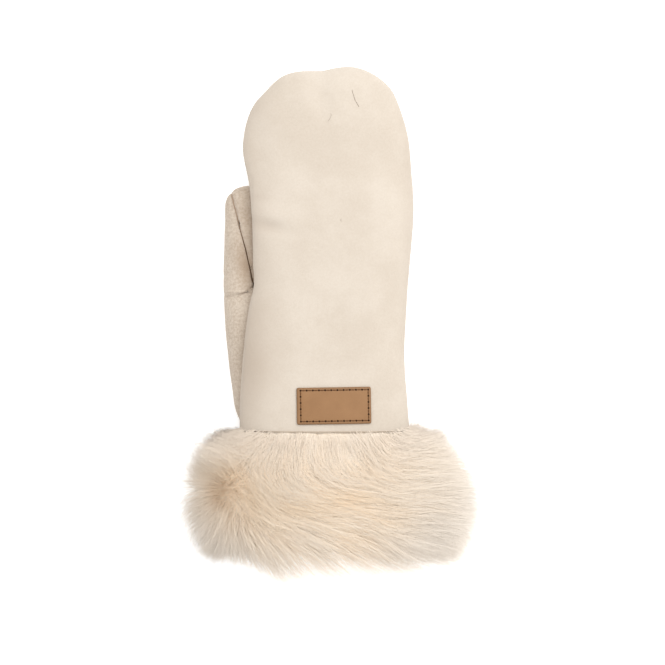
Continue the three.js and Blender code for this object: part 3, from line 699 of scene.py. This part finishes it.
# The cuff. A band of long-haired sheepskin joined to the wrist, hair outwards. Its short dense
# underwool is one soft ring, and it is lined with its own clipped wool.
wrist_y = -0.12379
cuff_length = 0.070
cuff_wall = 0.003
hair_length = 0.044
boxiness = 2 / 2.45
wrist = {"left": 0.0598, "right": 0.0550, "crown": 0.0473, "floor": 0.0120, "middle": 0.0300}
flare = [
    {"along": 0.0, "widen": 0.0, "raise": 0.0, "lower": 0.0},
    {"along": 0.35, "widen": 0.0029, "raise": 0.0022, "lower": 0.0022},
    {"along": 1.0, "widen": 0.0058, "raise": 0.0043, "lower": 0.0030},
    {"along": 1.4, "widen": 0.0069, "raise": 0.0052, "lower": 0.0030},
]
hair_depth = [
    {"along": 0.0, "over": 0.0, "left": 0.0, "right": 0.0},
    {"along": 0.03, "over": 0.12, "left": 0.12, "right": 0.2},
    {"along": 0.1, "over": 0.27, "left": 0.36, "right": 0.5},
    {"along": 0.26, "over": 0.44, "left": 0.64, "right": 0.74},
    {"along": 0.5, "over": 0.52, "left": 0.74, "right": 0.86},
    {"along": 0.76, "over": 0.53, "left": 0.72, "right": 0.88},
    {"along": 1.0, "over": 0.48, "left": 0.52, "right": 0.78},
    {"along": 1.19, "over": 0.32, "left": 0.3, "right": 0.54},
    {"along": 1.29, "over": 0.1, "left": 0.1, "right": 0.24},
]


def column(table, name, at):
    """A table's column read at one or more places, with straight lines between its rows."""
    rows = sorted(table, key=lambda row: row["along"])
    return np.interp(at, [row["along"] for row in rows], [row[name] for row in rows])


def ring(turn, along, grow):
    """Points of the cuff's ring: the wrist's outline carried down the cuff and grown outwards."""
    turn, along, grow = np.broadcast_arrays(turn, along, grow)
    side = np.where(np.cos(turn) < 0, wrist["left"], wrist["right"])
    reach = side + column(flare, "widen", along) + grow
    above = wrist["crown"] - wrist["middle"] + column(flare, "raise", along) + grow
    below = wrist["middle"] - wrist["floor"] + column(flare, "lower", along) + grow
    out = np.abs(np.cos(turn)) ** boxiness * np.sign(np.cos(turn))
    up = np.abs(np.sin(turn)) ** boxiness
    height = np.where(np.sin(turn) >= 0, above * up, -below * up)
    return np.stack([reach * out, wrist_y - along * cuff_length, wrist["middle"] + height], axis=-1)


def depth_at(turn, along):
    """Depth of the hair mass round the cuff."""
    share = np.cos(turn) ** 2
    left = column(hair_depth, "left", along)
    right = column(hair_depth, "right", along)
    beside = np.where(np.cos(turn) < 0, left, right)
    return hair_length * (column(hair_depth, "over", along) * (1 - share) + beside * share)


def turn_of(points, along):
    """The turn round the cuff at which points lie."""
    side = np.where(points[:, 0] < 0, wrist["left"], wrist["right"]) + column(flare, "widen", along)
    rise = points[:, 2] - wrist["middle"]
    tall = np.where(rise >= 0, wrist["crown"] - wrist["middle"], wrist["middle"] - wrist["floor"])
    c = np.sign(points[:, 0]) * (np.abs(points[:, 0]) / side) ** (1 / boxiness)
    s = np.sign(rise) * (np.abs(rise) / tall) ** (1 / boxiness)
    return np.arctan2(s, c)


root_share = 0.42  # how far out the roots lie in the mass
steps_round = 96
outer = [(a, root_share, 0.0) for a in np.linspace(0.0, 1.12, 16)]
inner = [(a, 0.0, -cuff_wall) for a in np.linspace(1.10, 0.0, 9)]
bm = bmesh.new()
circle = bmesh.ops.create_circle(bm, segments=steps_round, radius=0.05)["verts"]
loops = [circle]
for _ in outer[1:] + inner:
    edges = [e for e in bm.edges if e.verts[0] in set(loops[-1]) and e.verts[1] in set(loops[-1])]
    grown = bmesh.ops.extrude_edge_only(bm, edges=edges)["geom"]
    fresh = [item for item in grown if isinstance(item, bmesh.types.BMVert)]
    loops.append(fresh)
for loop, (along, share, add) in zip(loops, outer + inner):
    turns = np.array([math.atan2(v.co.y, v.co.x) for v in loop])
    places = ring(turns, along, share * depth_at(turns, along) + add)
    for vertex, point in zip(loop, places):
        vertex.co = point
ends = [e for e in bm.edges if e.is_boundary]
bmesh.ops.bridge_loops(bm, edges=ends)
for vertex in bm.verts:
    vertex.co += 0.0012 * noise.noise_vector(vertex.co * 120)
    vertex.co.z = max(0.0006, vertex.co.z)
bmesh.ops.recalc_face_normals(bm, faces=bm.faces)
underwool_mesh = bpy.data.meshes.new("cuff_underwool")
bm.to_mesh(underwool_mesh)
bm.free()
underwool_mesh.shade_smooth()
underwool = bpy.data.objects.new("cuff_underwool", underwool_mesh)
scene.collection.objects.link(underwool)

wool_skin = bpy.data.materials.new("Clipped underwool")
wool_skin.use_nodes = True
tree = wool_skin.node_tree
shader = tree.nodes["Principled BSDF"]
shader.inputs["Roughness"].default_value = 1.0
shader.inputs["Specular IOR Level"].default_value = 0.05
shader.inputs["Sheen Weight"].default_value = 0.2
place = put(tree, "TexCoord").outputs["Object"]
dye = put(
    tree,
    "Group",
    {
        "Vector": place,
        "Light": (0.88, 0.775, 0.65, 1),
        "Dark": (0.82, 0.69, 0.54, 1),
        "Clouds": 60.0,
        "Grain": 420.0,
        "Grain share": 0.5,
    },
    node_tree=uneven_dye,
)
curl = put(tree, "TexNoise", {"Vector": place, "Scale": 420.0, "Detail": 3.0, "Distortion": 1.5})
fluffy = put(tree, "Bump", {"Height": curl.outputs["Fac"], "Strength": 0.9, "Distance": 0.0012})
tree.links.new(dye.outputs["Color"], shader.inputs["Base Color"])
tree.links.new(fluffy.outputs[0], shader.inputs["Normal"])
underwool.data.materials.append(wool_skin)
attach(underwool, "root")
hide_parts("fur_cuff")


# The wrist seam. A run of brown thread in the join between the hand and the cuff, standing in for the
# join's thin shadow line as painted shade. It is darker brown towards both ends.
wrist_turns = np.linspace(math.radians(-25), math.radians(205), 110)
wrist_line = ring(wrist_turns, 0.0, 0.0010)
wrist_line[:, 1] += 0.0009
wrist_thread = laid_thread("wrist_thread", wrist_line, 0.00028)
wrist_shadow_brown = shadow_line_thread(
    "Wrist thread", "X", (0.030, 0.050), (0.50, 0.41, 0.32, 1), (0.14, 0.092, 0.062, 1), mirrored=True
)
wrist_thread.data.materials.clear()
wrist_thread.data.materials.append(wrist_shadow_brown)


# The long hair of the cuff. Fine hairs in loose locks, combed from the wrist and swept to the right,
# with a whorl on the thumb's side where they part and show their warmer roots, with painted shade down in
# the parting. The fleece is trimmed to a rounded outline.
locks = 4100
hairs_in_lock = 12
hair_pieces = 5
hair_width = 0.00016
sweep_across = (-0.085, -0.058, -0.029, 0.0, 0.029, 0.058)
sweep_names = ("edge", "far_left", "left", "middle", "right", "far_right")
hair_sweep = [
    {"along": 0.00, "edge": -84, "far_left": -62, "left": -16, "middle": 2, "right": 26, "far_right": 98},
    {"along": 0.14, "edge": -90, "far_left": -60, "left": -12, "middle": 6, "right": 32, "far_right": 94},
    {"along": 0.30, "edge": -98, "far_left": -52, "left": -4, "middle": 26, "right": 56, "far_right": 90},
    {"along": 0.44, "edge": -98, "far_left": -24, "left": 30, "middle": 66, "right": 76, "far_right": 88},
    {"along": 0.58, "edge": -88, "far_left": 22, "left": 78, "middle": 84, "right": 84, "far_right": 86},
    {"along": 0.85, "edge": -50, "far_left": 40, "left": 74, "middle": 78, "right": 80, "far_right": 84},
    {"along": 1.12, "edge": -34, "far_left": 18, "left": 44, "middle": 52, "right": 58, "far_right": 70},
]
whorl = (-0.0705, -0.1625)
whorl_reach = 0.022  # how far the whorl parts the sweep
raised_reach = 0.019  # how far it shortens and raises the locks
warm_partings = [(-0.0340, -0.1660), (-0.0080, -0.1610), (-0.0770, -0.2020), (0.0050, -0.1660)]
trim_middle = (0.0014, -0.1703)
trim_line = [
    (0.0557, -0.1235),
    (0.0700, -0.1228),
    (0.0785, -0.1178),
    (0.0832, -0.1285),
    (0.0932, -0.1370),
    (0.1020, -0.1513),
    (0.1068, -0.1703),
    (0.1068, -0.1833),
    (0.0950, -0.2050),
    (0.0735, -0.2215),
    (0.0505, -0.2305),
    (0.0286, -0.2350),
    (0.0143, -0.2255),
    (-0.0060, -0.2255),
    (-0.0200, -0.2290),
    (-0.0330, -0.2215),
    (-0.0503, -0.2118),
    (-0.0748, -0.2091),
    (-0.0890, -0.2070),
    (-0.0952, -0.1940),
    (-0.1000, -0.1840),
    (-0.1034, -0.1758),
    (-0.1028, -0.1600),
    (-0.0950, -0.1420),
    (-0.0890, -0.1340),
    (-0.0640, -0.1268),
    (-0.0598, -0.1230),
]
chance = np.random.default_rng(20)


def ripple(points, size, seed):
    """Smooth noise between -1 and 1 at points, with waves of about one size."""
    shift = Vector((seed * 3.7, seed * 1.9, seed * 5.3))
    return np.array([noise.noise(Vector(p) / size + shift) for p in points])


def combed(points):
    """The plan direction in which hair lies at points."""
    along = (wrist_y - points[:, 1]) / cuff_length
    table = np.stack([column(hair_sweep, name, along) for name in sweep_names])
    columns = range(len(sweep_across))
    at = np.clip(np.interp(points[:, 0], sweep_across, columns), 0, len(columns) - 1.001)
    low = at.astype(int)
    pick = np.arange(len(points))
    angle = np.radians(table[low, pick] * (1 - at + low) + table[low + 1, pick] * (at - low))
    flow = np.stack([np.sin(angle), -np.cos(angle)], axis=-1)
    away = points[:, :2] - np.array(whorl)
    far = np.linalg.norm(away, axis=1, keepdims=True)
    pull = np.exp(-((far / whorl_reach) ** 2)) * 3.0
    flow = flow + pull * away / np.maximum(far, 1e-4)
    return flow / np.linalg.norm(flow, axis=1, keepdims=True)


def outward(turn, along):
    """Unit normal of the cuff's ring."""
    a = ring(turn - 0.02, along, 0.012)
    b = ring(turn + 0.02, along, 0.012)
    across = b - a
    normal = np.stack([across[:, 2], np.zeros(len(a)), -across[:, 0]], axis=-1)
    return normal / np.linalg.norm(normal, axis=1, keepdims=True)


def grow_paths(turn, along, length, lift, lean):
    """Centre lines of locks: out of the skin and over into the sweep, each with five points."""
    here = ring(turn, along, root_share * depth_at(turn, along))
    path = [here]
    for step in range(4):
        now_along = np.clip((wrist_y - here[:, 1]) / cuff_length, 0.0, 1.3)
        normal = outward(turn_of(here, now_along), now_along)
        flow = np.concatenate([combed(here), np.zeros((len(here), 1))], axis=1)
        flow -= normal * np.sum(flow * normal, axis=1, keepdims=True)
        flow /= np.maximum(np.linalg.norm(flow, axis=1, keepdims=True), 1e-6)
        side = np.cross(normal, flow)
        wander = lean + 0.40 * ripple(here, 0.019, 1) + 0.13 * ripple(here, 0.007, 2)
        flow = flow * np.cos(wander)[:, None] + side * np.sin(wander)[:, None]
        rise = np.clip(lift * (1.5, 1.15, 0.8, 0.5)[step], 0.02, 0.97)[:, None]
        here = here + length[:, None] / 4 * (flow * np.sqrt(1 - rise**2) + normal * rise)
        here[:, 2] = np.maximum(here[:, 2], 0.0008)
        path.append(here)
    return np.stack(path, axis=1)


def past_trim(points):
    """How far points lie outside the trimmed outline in plan, as a share of its reach there."""
    edge = np.array(trim_line) - trim_middle
    edge_turn = np.arctan2(edge[:, 1], edge[:, 0])
    by_turn = np.argsort(edge_turn)
    away = points[:, :2] - trim_middle
    edge_reach = np.hypot(*edge[by_turn].T)
    away_turn = np.arctan2(away[:, 1], away[:, 0])
    reach = np.interp(away_turn, edge_turn[by_turn], edge_reach, period=2 * math.pi)
    return np.hypot(*away.T) / reach - 1


turn = chance.uniform(-math.pi, math.pi, locks * 3)
zone = chance.uniform(0, 1, locks * 3)
along = chance.uniform(0.0, 1.12, locks * 3)
along = np.where(zone < 0.20, chance.uniform(0.0, 0.09, locks * 3), along)
along = np.where(zone > 0.90, chance.uniform(0.92, 1.12, locks * 3), along)
by_thumb = (np.cos(turn) < -0.3) & (np.sin(turn) > -0.3) & (along < 0.6)
share_kept = np.where(np.sin(turn) < -0.75, 0.2, np.where(by_thumb, 1.0, 0.66))
keep = chance.uniform(0, 1, locks * 3) < share_kept
turn = turn[keep][:locks]
along = along[keep][:locks]
mass = depth_at(turn, np.clip(along, 0.2, 1.0))
length = hair_length * chance.uniform(0.56, 0.80, locks)
length *= np.interp(along, [0, 0.15, 1, 1.2], [0.75, 1.0, 1.2, 1.5])
length *= 1 + 0.30 * np.abs(np.cos(turn))
lift = (1 - root_share) * mass / length * chance.uniform(0.86, 1.14, locks)
lift *= np.interp(along, [0, 0.1, 0.25], [0.35, 0.7, 1.0])
lift *= 1 + np.where(np.cos(turn) < 0, 0.48, 0.36) * np.abs(np.cos(turn))
skin_places = ring(turn, along, root_share * depth_at(turn, along))
root_to_whorl = np.linalg.norm(skin_places[:, :2] - whorl, axis=1)
in_whorl = np.exp(-((root_to_whorl / raised_reach) ** 2)) * (np.sin(turn) > -0.2)
length *= 1 - 0.35 * in_whorl
lift += 0.32 * in_whorl
lean = np.radians(chance.normal(0, 6, locks))
allowed = chance.uniform(-0.06, 0.14, locks)
for _ in range(9):
    guides = grow_paths(turn, along, length, lift, lean)
    too_long = past_trim(guides[:, 4]) > allowed
    length = np.where(too_long, length * 0.88, length)
    lift = np.where(too_long, lift / 0.94, lift)

# One hair as a thin three-sided rod, tapered to a point. Each hair of the cuff is a bent copy of it.
bm = bmesh.new()
bmesh.ops.create_cone(bm, segments=3, radius1=1.0, radius2=0.5, depth=0.68, cap_ends=True)
bmesh.ops.translate(bm, verts=bm.verts, vec=(0, 0, 0.34))
everything = bm.verts[:] + bm.edges[:] + bm.faces[:]
bmesh.ops.bisect_plane(bm, geom=everything, plane_co=(0, 0, 0.34), plane_no=(0, 0, 1))
top = max(bm.faces, key=lambda face: face.calc_center_median().z)
bmesh.ops.poke(bm, faces=[top])
tip = max(bm.verts, key=lambda v: (round(v.co.z, 4), -v.co.xy.length))
tip.co = (0, 0, 1)
bm.verts.index_update()
rod = np.array([v.co[:] for v in bm.verts])
rod_faces = [[v.index for v in face.verts] for face in bm.faces]
bm.free()


def hair_mesh(name, paths, widths, tones, outwards):
    """All hairs along the given paths as one mesh, with tone across and root to tip up its UV map.
    Their normals lean to the outside of the cuff, which gives the soft light of a dense fleece."""
    count, verts = len(paths), len(rod)
    at = rod[:, 2] * 4
    low = np.minimum(at.astype(int), 3)
    mixed = (at - low)[None, :, None]
    centre = paths[:, low] * (1 - mixed) + paths[:, low + 1] * mixed
    tangent = paths[:, low + 1] - paths[:, low]
    tangent /= np.maximum(np.linalg.norm(tangent, axis=2, keepdims=True), 1e-9)
    side = np.cross(tangent, np.array([0.31, 0.21, 0.93]))
    side /= np.maximum(np.linalg.norm(side, axis=2, keepdims=True), 1e-9)
    over = np.cross(tangent, side)
    reach = widths[:, None, None] / 2
    radial = side * rod[None, :, 0:1] + over * rod[None, :, 1:2]
    points = centre + reach * radial
    leaning = 0.25 * radial + outwards[:, None, :]
    sizes = np.array([len(face) for face in rod_faces])
    corners = np.concatenate([np.array(face) for face in rod_faces])
    loops = (corners[None, :] + np.arange(count)[:, None] * verts).ravel()
    starts = np.concatenate([[0], np.cumsum(sizes)[:-1]])
    starts = (starts[None, :] + np.arange(count)[:, None] * len(corners)).ravel()
    mesh = bpy.data.meshes.new(name)
    mesh.vertices.add(count * verts)
    mesh.vertices.foreach_set("co", points.astype(np.float32).ravel())
    mesh.loops.add(len(loops))
    mesh.loops.foreach_set("vertex_index", loops.astype(np.int32))
    mesh.polygons.add(len(starts))
    mesh.polygons.foreach_set("loop_start", starts.astype(np.int32))
    mesh.update(calc_edges=True)
    uv = mesh.uv_layers.new(name="UVMap")
    u = tones[:, None] * 0.9 + 0.05 + 0.02 * rod[None, corners, 0]
    v = np.broadcast_to(rod[None, corners, 2] * 0.98 + 0.01, u.shape)
    uv.data.foreach_set("uv", np.stack([u, v], axis=-1).astype(np.float32).ravel())
    mesh.shade_smooth()
    leaning /= np.linalg.norm(leaning, axis=2, keepdims=True)
    mesh.normals_split_custom_set_from_vertices(leaning.reshape(-1, 3))
    return mesh


def hair_material(name, pale_root, warm_root, pale_tip, warm_tip):
    """Sheepskin hair: warmer near the skin and paler to its tip, each hair with its own warmth, with a
    faint painted glow and painted shade near the wrist, at the fringe and in the whorl.
    """
    material = bpy.data.materials.new(name)
    material.use_nodes = True
    tree = material.node_tree
    shader = tree.nodes["Principled BSDF"]
    shader.inputs["Roughness"].default_value = 0.8
    shader.inputs["Specular IOR Level"].default_value = 0.04
    # Painted light: a faint warm glow that lifts the shade between the hairs.
    shader.inputs["Emission Color"].default_value = (1.0, 0.80, 0.62, 1)
    shader.inputs["Emission Strength"].default_value = 0.04
    coordinate = put(tree, "TexCoord")
    parts = put(tree, "SeparateXYZ", {0: coordinate.outputs["UV"]})
    place = put(tree, "SeparateXYZ", {0: coordinate.outputs["Object"]})
    upper = put(tree, "MapRange", {"Value": parts.outputs["Y"], "From Min": 0.0, "From Max": 0.7})
    low = put(tree, "Mix", {0: parts.outputs["X"], 6: pale_root, 7: warm_root}, data_type="RGBA")
    high = put(tree, "Mix", {0: parts.outputs["X"], 6: pale_tip, 7: warm_tip}, data_type="RGBA")
    whole = put(
        tree, "Mix", {0: upper.outputs[0], 6: low.outputs[2], 7: high.outputs[2]}, data_type="RGBA"
    )
    # Painted shade: the hair is darker over the stretch nearest the wrist seam.
    wrist_shade = put(
        tree,
        "MapRange",
        {"Value": place.outputs["Y"], "From Min": -0.150, "From Max": -0.122, "To Min": 0.0, "To Max": 0.8},
    )
    shaded = put(
        tree,
        "Mix",
        {0: wrist_shade.outputs[0], 6: whole.outputs[2], 7: (0.79, 0.70, 0.605, 1)},
        data_type="RGBA",
    )
    # Painted shade: the hair turns greyer towards the outer fringe of the fleece.
    from_middle = put(
        tree,
        "Mapping",
        {"Vector": coordinate.outputs["Object"], "Location": (-0.014, 1.365, 0), "Scale": (10, 10.5, 0)},
    )
    far_out = put(tree, "VectorMath", {0: from_middle.outputs[0]}, operation="LENGTH")
    edge = put(
        tree,
        "MapRange",
        {"Value": far_out.outputs["Value"], "From Min": 0.68, "From Max": 1.05, "To Max": 0.8},
    )
    shaded_fringe = put(
        tree,
        "Mix",
        {0: edge.outputs[0], 6: shaded.outputs[2], 7: (0.79, 0.72, 0.64, 1)},
        data_type="RGBA",
    )
    # The whorl's heart is darker and warmer: partly the warmer roots that show there, partly painted shade
    # down in the parting.
    by_whorl = put(
        tree,
        "Mapping",
        {"Vector": coordinate.outputs["Object"], "Location": (4.935, 11.375, 0), "Scale": (70, 70, 0)},
    )
    off_whorl = put(tree, "VectorMath", {0: by_whorl.outputs[0]}, operation="LENGTH")
    heart = put(
        tree,
        "MapRange",
        {"Value": off_whorl.outputs["Value"], "From Max": 1.1, "To Min": 0.62, "To Max": 0.0},
        interpolation_type="SMOOTHSTEP",
    )
    parted_and_shaded = put(
        tree,
        "Mix",
        {0: heart.outputs[0], 6: shaded_fringe.outputs[2], 7: (0.62, 0.43, 0.27, 1)},
        data_type="RGBA",
    )
    tree.links.new(parted_and_shaded.outputs[2], shader.inputs["Base Color"])
    return material


wool_hair = hair_material(
    "Long sheepskin hair",
    pale_root=(0.93, 0.81, 0.67, 1),
    warm_root=(0.98, 0.73, 0.485, 1),
    pale_tip=(0.83, 0.755, 0.66, 1),
    warm_tip=(0.84, 0.665, 0.475, 1),
)

which = np.repeat(np.arange(locks), hairs_in_lock)
hairs = len(which)
around = chance.uniform(0, 2 * math.pi, hairs)
aside = np.sqrt(chance.uniform(0, 1, hairs)) * 0.0052
tight = chance.uniform(-0.5, 0.3, hairs)
first = guides[which, 1] - guides[which, 0]
first /= np.linalg.norm(first, axis=1, keepdims=True)
basis_a = np.cross(first, np.array([0.2, 0.9, 0.3]))
basis_a /= np.linalg.norm(basis_a, axis=1, keepdims=True)
basis_b = np.cross(first, basis_a)
offset = aside[:, None] * (basis_a * np.cos(around)[:, None] + basis_b * np.sin(around)[:, None])
share = np.linspace(0, 1, 5)
gather = 1 - tight[:, None] * share[None, :] ** 1.3
scale = chance.uniform(0.6, 1.12, hairs) + 0.26 * (chance.uniform(0, 1, hairs) < 0.20)
hair_paths = guides[which, :1] + (guides[which] - guides[which, :1]) * scale[:, None, None]
hair_paths = hair_paths + offset[:, None, :] * gather[:, :, None]
waver = chance.normal(0, 0.0007, (hairs, 5, 3)) * share[None, :, None]
splay = chance.normal(0, 0.0027, (hairs, 1, 3)) * share[None, :, None] ** 1.2
hair_paths = hair_paths + waver + splay
hair_allowed = chance.uniform(-0.10, 0.05, hairs) + 0.08 * (chance.uniform(0, 1, hairs) < 0.3)
for _ in range(5):
    over = past_trim(hair_paths[:, 4]) > hair_allowed
    hair_paths[over] = hair_paths[over, :1] + 0.9 * (hair_paths[over] - hair_paths[over, :1])
hair_paths[:, :, 2] = np.maximum(hair_paths[:, :, 2], 0.0006)
widths = hair_width * chance.uniform(0.75, 1.25, hairs)
roots = hair_paths[:, 0]
from_whorl = np.linalg.norm(roots[:, :2] - whorl, axis=1)
warmth = 0.80 * np.exp(-((from_whorl / 0.021) ** 2)) * (roots[:, 2] > 0.03)
for place in warm_partings:
    from_parting = np.linalg.norm(roots[:, :2] - place, axis=1)
    warmth += 0.70 * np.exp(-((from_parting / 0.009) ** 2)) * (roots[:, 2] > 0.03)
warmth += 0.30 + 0.38 * ripple(guides[:, 2], 0.021, 5)[which]
warmth -= 0.42 * np.interp(roots[:, 0], [0.02, 0.07], [0, 1])
tones = np.clip(warmth + chance.normal(0, 0.2, hairs), 0, 1)
outwards = outward(turn, along)[which] + np.array([0, 0, 0.6])
outwards[:, 2] = np.maximum(outwards[:, 2], 0.15)
outwards /= np.linalg.norm(outwards, axis=1, keepdims=True)

order = np.argsort(np.arctan2(hair_paths[:, 0, 2] - wrist["middle"], hair_paths[:, 0, 0]))
for number, members in enumerate(np.array_split(order, hair_pieces), start=1):
    name = f"cuff_hair_{number}"
    mesh = hair_mesh(name, hair_paths[members], widths[members], tones[members], outwards[members])
    mesh.materials.append(wool_hair)
    piece = bpy.data.objects.new(name, mesh)
    scene.collection.objects.link(piece)
    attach(piece, "root")
    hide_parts("fur_cuff")


# The table, the light and the camera. The mitten lies on a white table under soft light that comes
# mostly from its right and from the fingertips, and the camera looks straight down on it.
bm = bmesh.new()
bmesh.ops.create_grid(bm, x_segments=1, y_segments=1, size=6)
table_mesh = bpy.data.meshes.new("table_top")
bm.to_mesh(table_mesh)
bm.free()
table = bpy.data.objects.new("table_top", table_mesh)
scene.collection.objects.link(table)
white = bpy.data.materials.new("White table")
white.use_nodes = True
shader = white.node_tree.nodes["Principled BSDF"]
shader.inputs["Base Color"].default_value = (0.9, 0.9, 0.9, 1)
shader.inputs["Roughness"].default_value = 0.9
shader.inputs["Specular IOR Level"].default_value = 0.0
shader.inputs["Emission Color"].default_value = (1, 1, 1, 1)
shader.inputs["Emission Strength"].default_value = 0.45
table.data.materials.append(white)

world = bpy.data.worlds.new("Studio")
scene.world = world
world.use_nodes = True
world.node_tree.nodes["Background"].inputs["Color"].default_value = (1, 1, 1, 1)
world.node_tree.nodes["Background"].inputs["Strength"].default_value = 0.86

softbox = bpy.data.lights.new("Soft box", "AREA")
softbox.shape = "DISK"
softbox.size = 1.8
softbox.energy = 24.5
softbox_object = bpy.data.objects.new("Soft box", softbox)
softbox_object.location = (0.46, 0.42, 1.50)
towards_hand = Vector((0, -0.04, 0.02)) - softbox_object.location
softbox_object.rotation_euler = towards_hand.to_track_quat("-Z", "Y").to_euler()
scene.collection.objects.link(softbox_object)

camera = bpy.data.cameras.new("Camera")
camera.lens = 100
camera.sensor_width = 36
camera.clip_start = 0.01
camera_object = bpy.data.objects.new("Camera", camera)
camera_object.location = (0.00306, -0.0564, 1.283)
scene.collection.objects.link(camera_object)
scene.camera = camera_object
scene.view_settings.view_transform = "Standard"

for group in ("meshes", "materials"):
    for block in [item for item in getattr(bpy.data, group) if item.users == 0]:
        getattr(bpy.data, group).remove(block)
